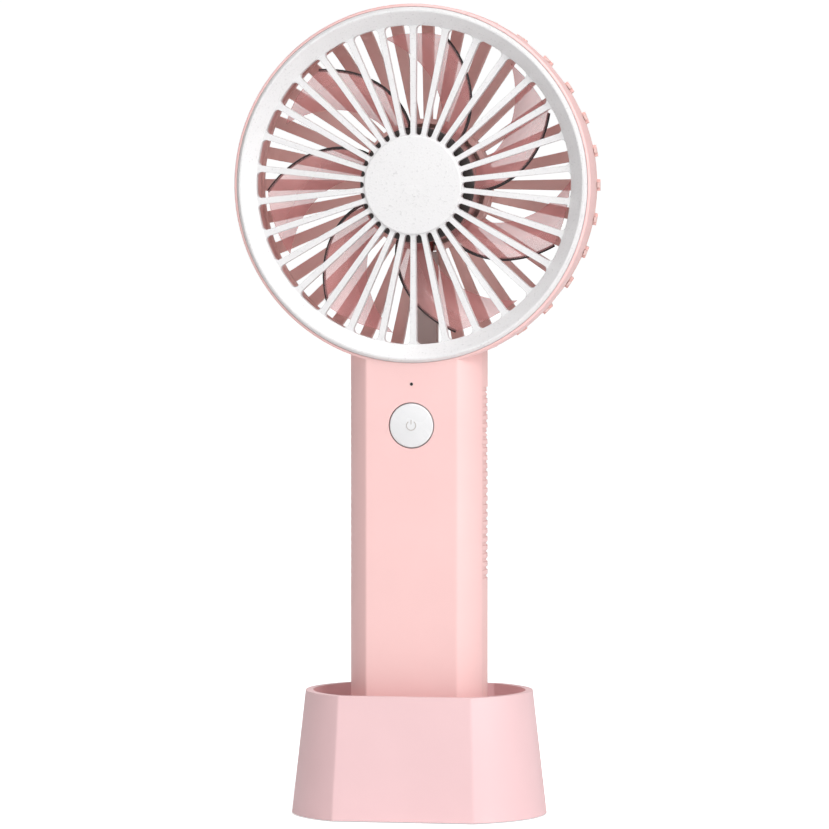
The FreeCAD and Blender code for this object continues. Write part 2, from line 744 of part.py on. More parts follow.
def grip_loop(inset, sign):
    """The sliver between the bowed side, drawn in by an inset, and a straight line outside it."""
    _, (facet, _, radius), (_, depth, _) = handle_outline(inset)[:3]
    outside = f"{sign}(handle_half_width + overcut)"
    facet = f"{sign}({facet})"
    return [(facet, f"-({depth})", f"{sign}{radius}"), (facet, depth),
            (outside, depth), (outside, f"-({depth})")]


# The grille that twists off, in the head's frame

HALF_PITCH = "(180 / spoke_count)"


def slot_between_spokes():
    """One opening, on the X axis: a round inner end, and an outer end that follows the dish's edge."""
    corner = f"({HALF_PITCH} - spoke_outer_width / 2 / slot_outer * 180 / pi)"
    past_corner = f"({corner} - slot_corner / slot_outer * 180 / pi)"
    inner = "(slot_inner + slot_inner_round)"
    half = f"({inner} * sin({HALF_PITCH}) - spoke_inner_width / 2)"
    near = (f"(slot_outer - slot_corner) * cos({corner})", f"(slot_outer - slot_corner) * sin({corner})")
    far = (f"slot_outer * cos({past_corner})", f"slot_outer * sin({past_corner})")
    return [(inner, f"-{half}"), (near[0], f"-({near[1]})", "slot_corner * 1.01"),
            (far[0], f"-({far[1]})", "slot_outer"), (*far, "slot_corner * 1.01"),
            near, (inner, half, f"{half} * 1.02")]


def make_front_grille():
    """Thirty spokes in a dished rim, with a skirt whose lugs lock behind the front shell's ledge."""
    body = new_body("front_grille", in_head=True)
    profile = [("0", "spoke_front"), ("slot_outer", "spoke_front"),
               ("crest_radius - crest_width", "crest + crest_soft"),
               ("crest_radius - crest_width / 2", "crest"), ("crest_radius + crest_width / 2", "crest"),
               ("rim_radius", "rim_front"), ("rim_radius", "rim_seat"), ("skirt_radius", "rim_seat"),
               ("skirt_radius", "skirt_end"), ("skirt_radius - skirt_wall", "skirt_end"),
               ("skirt_radius - skirt_wall", "spoke_rear"), ("0", "spoke_rear")]
    turn(body, "rim", [profile])
    slot = extrude(body, "slot", "XY_Plane", [slot_between_spokes()], "crest", "spoke_rear + overcut",
                   cut=True)
    polar(body, "slots", [slot], "spoke_count")
    extrude(body, "cap_hole", "XY_Plane", [("0", "0", "cap_peg_radius + cap_peg_fit")],
            "spoke_front", "spoke_rear", cut=True)
    lug = extrude(body, "lug", "XY_Plane", [sector_loop("skirt_radius - skirt_wall / 2", "lug_radius",
                  "-90", "lug_half_angle")], "lug_front", "lug_rear")
    polar(body, "lugs", [lug], "lug_count")


def make_centre_cap():
    """The plain disc over the meeting of the spokes, held by a peg."""
    body = new_body("centre_cap", in_head=True)
    front = "(spoke_front - cap_height)"
    soft = "(cap_height / 2)"
    dome = f"(((cap_radius - {soft}) ^ 2 + cap_dome ^ 2) / (2 * cap_dome))"
    profile = [("0", f"{front} - cap_dome"), ("0", "spoke_rear"),
               ("cap_peg_radius", "spoke_rear"), ("cap_peg_radius", "spoke_front"),
               ("cap_radius", "spoke_front"), ("cap_radius", f"{front} + {soft}", f"-{soft} * 1.01"),
               (f"cap_radius - {soft}", front, f"-{dome}")]
    turn(body, "disc", [profile])


# The impeller and its motor, in the head's frame

BLADE_STEPS = 8         # points along a blade's section
BLADE_SHARES = (0, 0.25, 0.5, 0.75, 1)
EDGE_SHARE = 0.4        # how thick a blade's edges are, beside its middle


def blade_section(radius):
    """One blade's flat outline at a radius: it arches, and both of its edges are thin."""
    reach = (radius - size("hub_radius")) / size("blade_tip - hub_radius")
    half_span = math.radians(size("blade_span_angle") / 2)
    turned_on = size("blade_sweep") * max(reach, 0) ** size("blade_curl")
    middle = size("blade_start") - turned_on - size("blade_span_angle") / 2
    upper, lower = [], []
    for step in range(BLADE_STEPS + 1):
        share = step / BLADE_STEPS
        across = radius * math.tan(half_span * (1 - 2 * share))
        height = size("blade_front") + size("blade_rear - blade_front") * share
        height += size("blade_arch") * math.sin(math.pi * share)
        half = size("blade_thickness") / 2 * (EDGE_SHARE + (1 - EDGE_SHARE) * math.sin(math.pi * share))
        upper.append(Vector(radius, across, height - half))
        lower.append(Vector(radius, across, height + half))
    sides = []
    for points in (upper, lower[::-1]):
        curve = Part.BSplineCurve()
        curve.interpolate(points)
        sides.append(curve.toShape())
    rear_edge, front_edge = Part.makeLine(upper[-1], lower[-1]), Part.makeLine(lower[0], upper[0])
    outline = Part.Wire([sides[0], rear_edge, sides[1], front_edge])
    outline.rotate(Vector(0, 0, 0), Vector(0, 0, 1), middle)
    return outline


def make_shape(label, shape):
    """A part whose shape is built by formula."""
    part = doc.addObject("Part::Feature", label)
    part.Label = label
    part.Shape = shape
    PARTS.append(part)
    return part


def make_impeller():
    """Seven swept blades on a cup-shaped hub."""
    root, tip, margin = size("hub_radius"), size("blade_tip"), size("overcut")
    stations = [root - size("hub_wall") / 2 + (tip + margin - root) * share for share in BLADE_SHARES]
    blade = Part.makeLoft([blade_section(radius) for radius in stations], True, False)
    low = size("blade_front + blade_arch - blade_thickness")
    envelope = Part.makeCylinder(tip, size("blade_rear + blade_thickness") - low, Vector(0, 0, low))
    blade = blade.common(envelope)
    wheel = Part.makeCylinder(root, size("hub_rear - hub_face"), Vector(0, 0, size("hub_face")))
    for number in range(SIZES["blade_count"]):
        turned = blade.copy()
        turned.rotate(Vector(0, 0, 0), Vector(0, 0, 1), 360 * number / SIZES["blade_count"])
        wheel = wheel.fuse(turned)
    front_room = Part.makeCylinder(size("hub_radius + press_gap"), size("hub_face") - low, Vector(0, 0, low))
    inside = Part.makeCylinder(size("yoke_radius"), size("hub_rear - yoke_front") + margin,
                               Vector(0, 0, size("yoke_front")))
    shaft_hole = Part.makeCylinder(size("shaft_radius + press_gap"), size("yoke_front - hub_face") + margin,
                                   Vector(0, 0, size("hub_face")))
    put_in_head(make_shape("impeller", wheel.cut(front_room).cut(inside).cut(shaft_hole)))


def ring_loop(inner, outer, front, rear):
    return rectangle(inner, front, outer, rear)


def make_turned(label, *loops):
    """A turned part of the head."""
    body = new_body(label, in_head=True)
    turn(body, "form", list(loops))
    return body


def make_rotor():
    """What turns with the impeller: cap, yoke, magnet, shaft and the clip behind the rear bearing."""
    soft = "(cap_thickness / 3)"
    make_turned("hub_cap", [("0", "hub_front"), ("0", "hub_face"), ("hub_radius", "hub_face"),
                            ("hub_radius", f"hub_front + {soft}", f"-{soft} * 1.01"),
                            (f"hub_radius - {soft}", "hub_front")])
    inner = "yoke_radius - press_gap - yoke_wall"
    yoke_back = "yoke_front + press_gap + yoke_wall"
    make_turned("rotor_yoke", [("shaft_radius + press_gap", "yoke_front + press_gap"),
                               ("yoke_radius - press_gap", "yoke_front + press_gap"),
                               ("yoke_radius - press_gap", "hub_rear - yoke_wall"),
                               (inner, "hub_rear - yoke_wall"), (inner, yoke_back),
                               ("spacer_radius", yoke_back), ("spacer_radius", "tube_front - spacer_gap"),
                               ("shaft_radius + press_gap", "tube_front - spacer_gap")])
    make_turned("magnet_ring", ring_loop("magnet_radius - magnet_wall", "magnet_radius - 2 * press_gap",
                                         "stator_front - magnet_overhang",
                                         "stator_rear + magnet_overhang"))
    make_turned("motor_shaft", ring_loop("0", "shaft_radius", "hub_face + press_gap",
                                         "clip_rear + shaft_end"))
    make_turned("shaft_clip", ring_loop("shaft_radius + press_gap", "clip_radius",
                                        "clip_rear - clip_thickness", "clip_rear"))


def make_stator():
    """What stands still inside the rotor: bearings in their tube, toothed core, coils and board."""
    shoulder_front = "tube_front + bearing_width"
    shoulder_rear = "rear_bearing_front"
    rear_seat = f"{shoulder_rear} + bearing_width"
    make_turned("bearing_tube", [("tube_outer", "tube_front"), ("tube_outer", "tube_rear"),
                                 ("tube_inner", "tube_rear"),
                                 ("tube_inner", shoulder_rear), ("tube_inner - tube_shoulder", shoulder_rear),
                                 ("tube_inner - tube_shoulder", shoulder_front),
                                 ("tube_inner", shoulder_front),
                                 ("tube_inner", "tube_front")])
    for label, front in (("front_bearing", "tube_front"), ("rear_bearing", shoulder_rear)):
        make_turned(label, ring_loop("shaft_radius + running_fit", "tube_inner - press_gap",
                                     front, f"{front} + bearing_width"))
    core = new_body("stator_core", in_head=True)
    rings = [("0", "0", "tube_outer + core_wall"), ("0", "0", "tube_outer + press_gap")]
    extrude(core, "ring", "XY_Plane", rings, "stator_front", "stator_rear")
    tooth_end = "(stator_radius - shoe_depth)"
    stem = rectangle("tube_outer + core_wall - tooth_sunk", "-tooth_width / 2",
                     f"{tooth_end} + tooth_sunk", "tooth_width / 2")
    tip = sector_loop(tooth_end, "stator_radius", "0", "shoe_share / stator_teeth")
    tooth = extrude(core, "tooth", "XY_Plane", [stem], "stator_front", "stator_rear")
    shoe = extrude(core, "shoe", "XY_Plane", [tip], "stator_front", "stator_rear")
    polar(core, "teeth", [tooth, shoe], "stator_teeth")
    coils = new_body("stator_windings", in_head=True)
    inner, outer = "tube_outer + core_wall + coil_inset", f"{tooth_end} - coil_shoe_gap"
    half = "(tooth_width / 2 + coil_wall)"
    bare = "(tooth_width / 2 + coil_gap)"
    coil = extrude(coils, "coil", "XY_Plane", [rectangle(inner, f"-{half}", outer, half)],
                   "stator_front - coil_wall", "stator_rear + coil_wall")
    room = rectangle("tube_outer + core_wall", f"-{bare}", "stator_radius", bare)
    opening = extrude(coils, "coil_bore", "XY_Plane", [room], "stator_front - coil_gap",
                      "stator_rear + coil_gap", cut=True)
    polar(coils, "coils", [coil, opening], "stator_teeth")
    make_turned("motor_board", ring_loop("tube_outer + motor_board_gap", "motor_board_radius",
                                         "motor_board_front", "motor_board_rear"))


def make_rear_grille():
    """Thirty-two ribs from a middle cup out and over the rim, held by a ring on the rear shell's edge."""
    body = new_body("rear_grille", in_head=True)
    floor = "tube_rear"
    board_back = "motor_board_rear"
    cup = [("0", floor), ("tube_outer + press_gap", floor), ("tube_outer + press_gap", board_back),
           ("tube_outer + tube_socket_wall", board_back), ("tube_outer + tube_socket_wall", floor),
           ("rear_hub_radius - cup_wall", floor),
           ("rear_hub_radius - cup_wall", "cup_front"), ("rear_hub_radius", "cup_front"),
           ("rear_hub_radius", "rear_plane"), ("0", "rear_plane")]
    seat = "(ring_rear + seat_gap)"
    turn(body, "cup", [cup])
    outer = "(rear_radius + rib_proud)"
    turn(body, "ring", [ring_loop("rear_radius - ring_width", "rear_radius - ring_inset",
                                  seat, f"{seat} + ring_depth")])
    inner_edge = f"({outer} - rear_round)"
    rib_low = "(rear_radius - ring_inset)"
    arm_start = "(rear_hub_radius - overcut)"
    arm = [(arm_start, "-rib_inner_width / 2"), (inner_edge, "-rib_width / 2"), (inner_edge, "rib_width / 2"),
           (arm_start, "rib_inner_width / 2")]
    bend = [(f"{inner_edge} - overcut", floor), (inner_edge, floor, "-rear_round * 0.95"), (rib_low, seat),
            (outer, seat), (outer, "rear_plane - rear_round", "rear_round * 1.01"),
            (inner_edge, "rear_plane"), (f"{inner_edge} - overcut", "rear_plane")]
    wall_there = "(rear_radius + wall_taper * (ring_rear - rib_hook) / (ring_rear - parting))"
    hook = [(outer, seat), ("rear_radius + rib_clearance", seat),
            (f"{wall_there} + rib_clearance", "rib_hook"),
            (f"{wall_there} + rib_clearance + hook_toe", "rib_hook"), (outer, "rib_hook + hook_ramp")]
    features = [extrude(body, "arm", "XY_Plane", [arm], floor, "rear_plane"),
                extrude(body, "bend", "XZ_Plane", [bend], "-rib_width / 2", "rib_width / 2"),
                extrude(body, "hook", "XZ_Plane", [hook], "-hook_width / 2", "hook_width / 2")]
    polar(body, "ribs", features, "rib_count")
    extrude(body, "lead_notches", "XY_Plane",
            [rectangle("-lead_hole_half", "rear_hub_radius - cup_wall - overcut", "lead_hole_half",
                       "rear_hub_radius + overcut"),
             rectangle("-lead_hole_half", "rear_radius - ring_width - overcut",
                       "lead_hole_half", f"{outer} + overcut")],
            "cup_front", "lead_depth + lead_radius + seat_gap", cut=True)
    beside_handle = "(handle_half_width + rib_clearance)"
    extrude(body, "handle_room", "XY_Plane", [rectangle(f"-{beside_handle}", "handle_half_width",
            beside_handle, "head_radius + overcut")], "rib_hook - overcut", seat, cut=True)


def make_wire_duct():
    """The channel that carries the motor's leads across the airway, open to the rear."""
    body = new_body("wire_duct", in_head=True)
    near = "rear_hub_radius + duct_end_gap"
    far = "sqrt((rear_radius - ring_width) ^ 2 - (duct_width / 2) ^ 2) - duct_end_gap"
    half, bare = "duct_width / 2", "(duct_width / 2 - duct_wall)"
    extrude(body, "channel", "XY_Plane", [rectangle(f"-{half}", near, half, far)],
            "duct_front", "duct_front + duct_depth")
    groove = rectangle(f"-{bare}", f"{near} - overcut", bare, f"{far} + overcut")
    extrude(body, "groove", "XY_Plane", [groove], "duct_front + duct_wall", "duct_front + duct_depth",
            cut=True)


# Battery, boards and leads in the handle


def make_block(label, corner, extent):
    """A plain block between bound places."""
    block = doc.addObject("Part::Box", label)
    block.Label = label
    for prop, expression in zip(("Length", "Width", "Height"), extent):
        bind(block, prop, expression)
    for axis, expression in zip("xyz", corner):
        bind(block, f"Placement.Base.{axis}", expression)
    PARTS.append(block)
    return block


def make_battery():
    """A round cell with a button on top, standing between two nickel tabs, with foam in front of it."""
    cell = new_body("battery_cell")
    bind(cell, "Placement.Base.y", "battery_offset")
    bind(cell, "Placement.Base.z", "battery_low")
    turn(cell, "can", [[("0", "0"), ("battery_radius - cell_edge", "0"), ("battery_radius", "cell_edge"),
                        ("battery_radius", "battery_length - cell_edge"),
                        ("battery_radius - cell_edge", "battery_length"),
                        ("cell_button_radius", "battery_length"),
                        ("cell_button_radius", "battery_length + cell_button_height"),
                        ("0", "battery_length + cell_button_height")]])
    tabs = new_body("battery_tabs")
    tab = [rectangle("-tab_width / 2", "tab_front", "tab_width / 2", "tab_front + tab_length")]
    extrude(tabs, "lower", "XY_Plane", tab, "battery_low - tab_thickness - press_gap",
            "battery_low - press_gap")
    top = "battery_top + cell_button_height + press_gap"
    extrude(tabs, "upper", "XY_Plane", tab, top, f"{top} + tab_thickness")
    make_block("battery_foam", ("-foam_width / 2", "inner_face + press_gap", "battery_low + foam_width / 2"),
               ("foam_width", "battery_offset - battery_radius - inner_face - 2 * press_gap",
                "battery_length - foam_width"))


def make_boards():
    """The control board behind the button, and the charging board with its socket."""
    board = new_body("control_board")
    outline = rectangle("-control_board_width / 2", "charger_low + seat_gap",
                        "control_board_width / 2", "led_height + board_above_led")
    holes = circles(BOARD_SCREWS, "board_screw_radius + press_gap")
    extrude(board, "sheet", "XZ_Plane", [outline, *holes], "control_board_front", "control_board_rear")
    switch = new_body("tact_switch")
    side = "switch_side / 2"
    extrude(switch, "case", "XZ_Plane", [rectangle(f"-{side}", f"button_height - {side}", side,
            f"button_height + {side}")], "control_board_front - switch_depth", "control_board_front")
    extrude(switch, "well", "XZ_Plane", [("0", "button_height", "plunger_radius + plunger_clearance")],
            "control_board_front - switch_depth", "control_board_front - switch_floor", cut=True)
    led = "led_side / 2"
    make_block("status_led", (f"-{led}", "control_board_front - led_depth", f"led_height - {led}"),
               ("led_side", "led_depth", "led_side"))
    pipe = new_body("light_pipe", in_head=False)
    pipe.Placement = Placement(Vector(0, 0, 0), HEAD_TURN)
    bind(pipe, "Placement.Base.z", "led_height")
    face = "-handle_half_depth"
    inside = "(inner_face + press_gap)"
    foot = "(control_board_front - led_depth - press_gap)"
    turn(pipe, "pin", [[("0", f"{face} + led_sunk"), ("0", foot), ("pipe_foot_radius", foot),
                        ("pipe_foot_radius", inside), ("led_radius - press_gap", inside),
                        ("led_radius - press_gap", f"{face} + led_sunk")]])
    chip_corner = ("-chip_side - chip_from_middle", "control_board_rear", "button_height - chip_side / 2")
    make_block("controller_chip", chip_corner, ("chip_side", "chip_height", "chip_side"))
    make_block("power_inductor", ("inductor_from_middle", "control_board_rear",
                                  "button_height - inductor_side / 2"),
               ("inductor_side", "inductor_height", "inductor_side"))
    capacitors = new_body("capacitors")
    places = [(f"{sign}capacitor_across", "button_height - capacitor_below_button") for sign in ("-", "")]
    extrude(capacitors, "cans", "XZ_Plane", circles(places, "capacitor_radius"), "control_board_rear",
            "control_board_rear + capacitor_height")
    make_block("charge_board", ("-charge_board_width / 2", "control_board_rear + board_gap", "charger_low"),
               ("charge_board_width", "-inner_face - control_board_rear - 2 * board_gap", "board_thickness"))
    pins = new_body("board_pins")
    loops = [rectangle(f"{number} * pin_pitch - pin_side / 2", "charger_top",
                       f"{number} * pin_pitch + pin_side / 2", "charger_top + pin_side")
             for number in (-1.5, -0.5, 0.5, 1.5)]
    extrude(pins, "row", "XZ_Plane", loops, "control_board_rear", "control_board_rear + pin_length")
    socket = new_body("usb_socket")
    wide, high = "socket_width / 2", "socket_height / 2"
    wall = "socket_wall"
    end = "handle_half_depth - socket_sunk"
    extrude(socket, "shell", "XZ_Plane", [slot_loop(wide, high, "socket_level")],
            f"{end} - socket_depth", end)
    extrude(socket, "mouth", "XZ_Plane", [slot_loop(f"{wide} - {wall}", f"{high} - {wall}", "socket_level")],
            f"{end} - socket_depth + socket_back", end, cut=True)
    extrude(socket, "tongue", "XZ_Plane", [rectangle("-tongue_width / 2", "socket_level - tongue_height / 2",
            "tongue_width / 2", "socket_level + tongue_height / 2")], f"{end} - socket_depth + tongue_root",
            f"{end} - tongue_inset")
    make_screws("board_screws", BOARD_SCREWS, "control_board_rear", "XZ_Plane", -1, "board_screw")


# Leads: straight runs joined by tangent arcs

LEAD_ARC_SHARE = 0.45   # how much of the shorter run an arc takes


def lead_tube(points, radius):
    """A round lead along a route of (x, y, z) expressions."""
    route = [Vector(*(size(expression) for expression in point)) for point in points]
    edges = []
    start = route[0]
    for before, corner, after in zip(route, route[1:], route[2:]):
        arrive, leave = (corner - before).normalize(), (after - corner).normalize()
        half_turn = arrive.getAngle(leave) / 2
        reach = LEAD_ARC_SHARE * min((corner - before).Length, (after - corner).Length)
        first, last = corner - arrive * reach, corner + leave * reach
        inward = (leave - arrive).normalize()
        bend = reach / math.tan(half_turn)
        middle = corner + inward * (bend / math.cos(half_turn) - bend)
        edges.append(Part.makeLine(start, first))
        edges.append(Part.Arc(first, middle, last).toShape())
        start = last
    edges.append(Part.makeLine(start, route[-1]))
    spine = Part.Wire(edges)
    section = Part.Wire(Part.makeCircle(radius, route[0], (route[1] - route[0]).normalize()))
    return spine.makePipeShell([section], True, False)


def make_leads():
    """Three leads from the motor to the control board, and two from the battery's tabs."""
    board_edge = "(head_height - motor_board_radius - press_gap)"
    runs = [lead_tube([(f"{place} * lead_spacing", "lead_depth", board_edge),
                       (f"{place} * lead_spacing", "lead_depth", "lead_landing"),
                       (f"{place} * lead_spacing", "control_board_rear + press_gap", "lead_landing")],
                      size("lead_radius")) for place in (-1, 0, 1)]
    make_shape("motor_leads", Part.Compound(runs))
    top_tab = "(battery_top + cell_button_height + tab_thickness + 2 * press_gap)"
    alongside = "(control_board_front - lead_radius - press_gap)"
    rise = f"({top_tab} + lead_rise)"
    positive = lead_tube([("-lead_spacing", f"{alongside} - lead_radius", top_tab),
                          ("-lead_spacing", f"{alongside} - lead_radius", rise),
                          ("-lead_spacing", alongside, f"{rise} + lead_reach")], size("lead_radius"))
    low = "(battery_low - tab_thickness - lead_radius - 3 * press_gap)"
    around = "(max(shell_screw_across + boss_radius; control_board_width / 2) + lead_radius + negative_gap)"
    beside_board = "(control_board_width / 2 + lead_radius + press_gap)"
    negative = lead_tube([("tab_width / 2", "negative_start_depth", low),
                          ("battery_radius + negative_clear", "negative_low_depth", low),
                          (around, "negative_depth", f"{low} + negative_bend"),
                          (around, "parting", "mid_screw + negative_above_boss"),
                          (beside_board, "control_board_front + lead_radius", "mid_screw + negative_end")],
                         size("lead_radius"))
    make_shape("battery_leads", Part.Compound([positive, negative]))


def make_power_button():
    """The pressed cap, with a flange that keeps it in, and the switch plunger under it."""
    body = new_body("power_button")
    body.Placement = Placement(Vector(0, 0, 0), HEAD_TURN)
    bind(body, "Placement.Base.z", "button_height")
    face = "-handle_half_depth"
    rise = "(button_crown - button_soft / 2)"
    dome = f"(((button_radius - button_soft) ^ 2 + {rise} ^ 2) / (2 * {rise}))"
    turn(body, "cap", [[("0", f"{face} - button_crown"), ("0", "flange_rear"),
                        ("button_radius + button_lip", "flange_rear"),
                        ("button_radius + button_lip", "flange_front"),
                        ("button_radius", "flange_front"), ("button_radius", f"{face} + button_soft / 2"),
                        ("button_radius - button_soft", f"{face} - button_soft / 2", f"-{dome}")]])
    plunger = new_body("switch_plunger")
    plunger.Placement = Placement(Vector(0, 0, 0), HEAD_TURN)
    bind(plunger, "Placement.Base.z", "button_height")
    turn(plunger, "pin", [ring_loop("0", "plunger_radius", "flange_rear", "flange_rear + plunger_length")])


# Build, check and export


def check_and_export():
    doc.recompute()
    for thing in doc.Objects:
        if "Invalid" in thing.State or "Error" in thing.State:
            raise ValueError(f"{thing.Name} failed: {thing.State}")
    for part in PARTS:
        if part.Shape.isNull() or not part.Shape.isValid() or not part.Shape.Solids:
            raise ValueError(f"{part.Label} has no valid solid")
    os.makedirs("parts", exist_ok=True)
    for part in PARTS:
        part.Shape.exportStep(f"parts/{part.Label}.step")
        box = part.Shape.BoundBox
        print(f"{part.Label}: {len(part.Shape.Solids)} solids, volume {part.Shape.Volume:.1f}, "
              f"z {box.ZMin:.2f} to {box.ZMax:.2f}, y {box.YMin:.2f} to {box.YMax:.2f}")


make_dock_shell()
make_dock_base_plate()
make_dock_feet()
make_screws("dock_screws", DOCK_SCREWS, "plate_low + screw_head_height", "XY_Plane", 1)
make_front_shell()
make_rear_shell()
make_screws("shell_screws", SHELL_SCREWS, "handle_half_depth - screw_head_height", "XZ_Plane", -1)
make_front_grille()
make_centre_cap()
make_impeller()
make_rotor()
make_stator()
make_rear_grille()
make_wire_duct()
make_power_button()
make_battery()
make_boards()
make_leads()
check_and_export()
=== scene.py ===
"""Looks of the handheld electric fan in its dock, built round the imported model.

Metres. +Z is up, the grille faces -Y, and the head turns about a line along Y.
"""

import math

import bmesh
import bpy
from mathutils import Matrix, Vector


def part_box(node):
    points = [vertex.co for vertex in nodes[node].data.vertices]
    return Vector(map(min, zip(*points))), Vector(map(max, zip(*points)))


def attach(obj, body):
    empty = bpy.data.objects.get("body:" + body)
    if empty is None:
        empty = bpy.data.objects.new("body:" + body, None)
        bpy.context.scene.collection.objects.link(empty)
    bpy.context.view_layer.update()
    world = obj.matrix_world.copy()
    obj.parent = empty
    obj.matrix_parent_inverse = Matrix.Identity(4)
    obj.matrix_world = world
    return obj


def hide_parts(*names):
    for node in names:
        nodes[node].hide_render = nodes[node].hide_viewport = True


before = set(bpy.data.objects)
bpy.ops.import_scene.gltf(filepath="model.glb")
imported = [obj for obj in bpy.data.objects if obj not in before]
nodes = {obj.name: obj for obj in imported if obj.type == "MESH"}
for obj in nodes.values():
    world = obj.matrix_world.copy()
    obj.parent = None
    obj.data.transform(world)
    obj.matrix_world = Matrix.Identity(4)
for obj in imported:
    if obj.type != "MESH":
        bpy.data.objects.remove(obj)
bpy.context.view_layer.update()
MM = 0.001
MICRON = 0.001 * MM


def middle(node):
    low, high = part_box(node)
    return (low + high) / 2


def half_size(node):
    low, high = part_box(node)
    return (high - low) / 2


HEAD = middle("motor_shaft")
HUB_RADIUS = half_size("hub_cap").x
BLADE_TIP = half_size("impeller").x
BLADE_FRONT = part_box("impeller")[0].y
BLADE_COUNT = 7
BLADE_START = math.radians(-6)
BLADE_SWEEP = math.radians(36)
BLADE_CURL = 1.35
BLADE_HALF_SPAN = math.radians(12.5)
SLOT_OUTER = 42.8 * MM


# Building node trees


def add(tree, kind, inputs=None, **settings):
    """A node with its settings, and each named or numbered input set to a value or fed by a socket."""
    made = tree.nodes.new(kind)
    for setting, value in settings.items():
        setattr(made, setting, value)
    for key, value in (inputs or {}).items():
        if isinstance(value, bpy.types.NodeSocket):
            tree.links.new(value, made.inputs[key])
        else:
            made.inputs[key].default_value = value
    return made


def maths(tree, operation, first, second=0.0, clamp=False):
    made = add(tree, "ShaderNodeMath", {0: first, 1: second}, operation=operation, use_clamp=clamp)
    return made.outputs[0]


def blend_colour(tree, factor, first, second, how="MIX"):
    """The second colour over the first, by the factor."""
    mixed = add(tree, "ShaderNodeMix", {0: factor, 6: first, 7: second}, data_type="RGBA", blend_type=how)
    return mixed.outputs[2]


def spread(tree, value, low, high, to_low=0.0, to_high=1.0):
    """A value's range from low to high, stretched smoothly over another range."""
    ranged = add(tree, "ShaderNodeMapRange", {0: value, 1: low, 2: high, 3: to_low, 4: to_high},
                 interpolation_type="SMOOTHSTEP")
    return ranged.outputs[0]


def place_in_object(tree):
    return add(tree, "ShaderNodeTexCoord").outputs["Object"]


def noise(tree, scale, detail=2.0, roughness=0.5, vector=None):
    where = vector or place_in_object(tree)
    inputs = {"Vector": where, "Scale": scale, "Detail": detail, "Roughness": roughness}
    return add(tree, "ShaderNodeTexNoise", inputs).outputs["Fac"]


def new_group(name, inputs, outputs):
    """An empty shader group, from its inputs' names and defaults and its outputs' names and types."""
    tree = bpy.data.node_groups.new(name, "ShaderNodeTree")
    for label, default in inputs.items():
        socket = tree.interface.new_socket(label, in_out="INPUT", socket_type="NodeSocketFloat")
        socket.default_value = default
    for label, kind in outputs.items():
        tree.interface.new_socket(label, in_out="OUTPUT", socket_type=kind)
    return tree, tree.nodes.new("NodeGroupInput").outputs, tree.nodes.new("NodeGroupOutput").inputs


VALUE = "NodeSocketFloat"
VECTOR = "NodeSocketVector"


def make_mould_grain():
    """The fine spark-eroded grain of a moulding, and the broad cloudiness of its gloss."""
    tree, given, out = new_group("Mould grain", {"Scale": 2600.0, "Cloud scale": 55.0},
                                 {"Height": VALUE, "Cloud": VALUE, "Speck": VALUE})
    fine = noise(tree, given["Scale"], 3.0, 0.6)
    cloud = noise(tree, given["Cloud scale"], 2.0, 0.45)
    tree.links.new(fine, out["Height"])
    tree.links.new(spread(tree, cloud, 0.3, 0.7), out["Cloud"])
    tree.links.new(spread(tree, fine, 0.56, 0.74), out["Speck"])
    return tree


def make_soft_edge():
    """The rounding of a moulding's edges, as a normal, and a mask of where those edges are."""
    tree, given, out = new_group("Soft edge", {"Radius": 0.2 * MM}, {"Normal": VECTOR, "Edge": VALUE})
    rounded = add(tree, "ShaderNodeBevel", {"Radius": given["Radius"]}, samples=6).outputs[0]
    plain = add(tree, "ShaderNodeNewGeometry").outputs["Normal"]
    compared = add(tree, "ShaderNodeVectorMath", {0: rounded, 1: plain}, operation="DOT_PRODUCT")
    alike = compared.outputs["Value"]
    tree.links.new(rounded, out["Normal"])
    tree.links.new(spread(tree, maths(tree, "SUBTRACT", 1.0, alike), 0.01, 0.25), out["Edge"])
    return tree


def make_painted_crevice_shade():
    """A mask of the inner corners and grooves, where the colour is darkened as painted shade."""
    tree, given, out = new_group("Painted crevice shade", {"Reach": 2.0 * MM, "Start": 0.35}, {"Mask": VALUE})
    openness = add(tree, "ShaderNodeAmbientOcclusion", {"Distance": given["Reach"]}, samples=4)
    closed = maths(tree, "SUBTRACT", 1.0, openness.outputs["AO"])
    tree.links.new(spread(tree, closed, given["Start"], 0.95), out["Mask"])
    return tree


def make_settled_dust():
    """A patchy mask of what lies on faces that look up."""
    tree, given, out = new_group("Settled dust", {"Scale": 900.0}, {"Mask": VALUE})
    normal = add(tree, "ShaderNodeNewGeometry").outputs["Normal"]
    upward = add(tree, "ShaderNodeSeparateXYZ", {0: normal}).outputs["Z"]
    patch = spread(tree, noise(tree, given["Scale"], 4.0, 0.65), 0.42, 0.75)
    tree.links.new(maths(tree, "MULTIPLY", spread(tree, upward, 0.6, 1.0), patch), out["Mask"])
    return tree


SCRATCH_TURNS = (0.4, 1.9)


def make_fine_scratches():
    """Short hairline marks that cross one another."""
    tree, given, out = new_group("Fine scratches", {"Scale": 700.0}, {"Mask": VALUE})
    marks = None
    for turned in SCRATCH_TURNS:
        drawn_out = {"Vector": place_in_object(tree), "Rotation": (0.3, turned, turned),
                     "Scale": (1.0, 0.06, 0.06)}
        place = add(tree, "ShaderNodeMapping", drawn_out).outputs[0]
        line = spread(tree, noise(tree, given["Scale"], 1.0, 0.4, place), 0.68, 0.76)
        marks = line if marks is None else maths(tree, "MAXIMUM", marks, line)
    tree.links.new(marks, out["Mask"])
    return tree


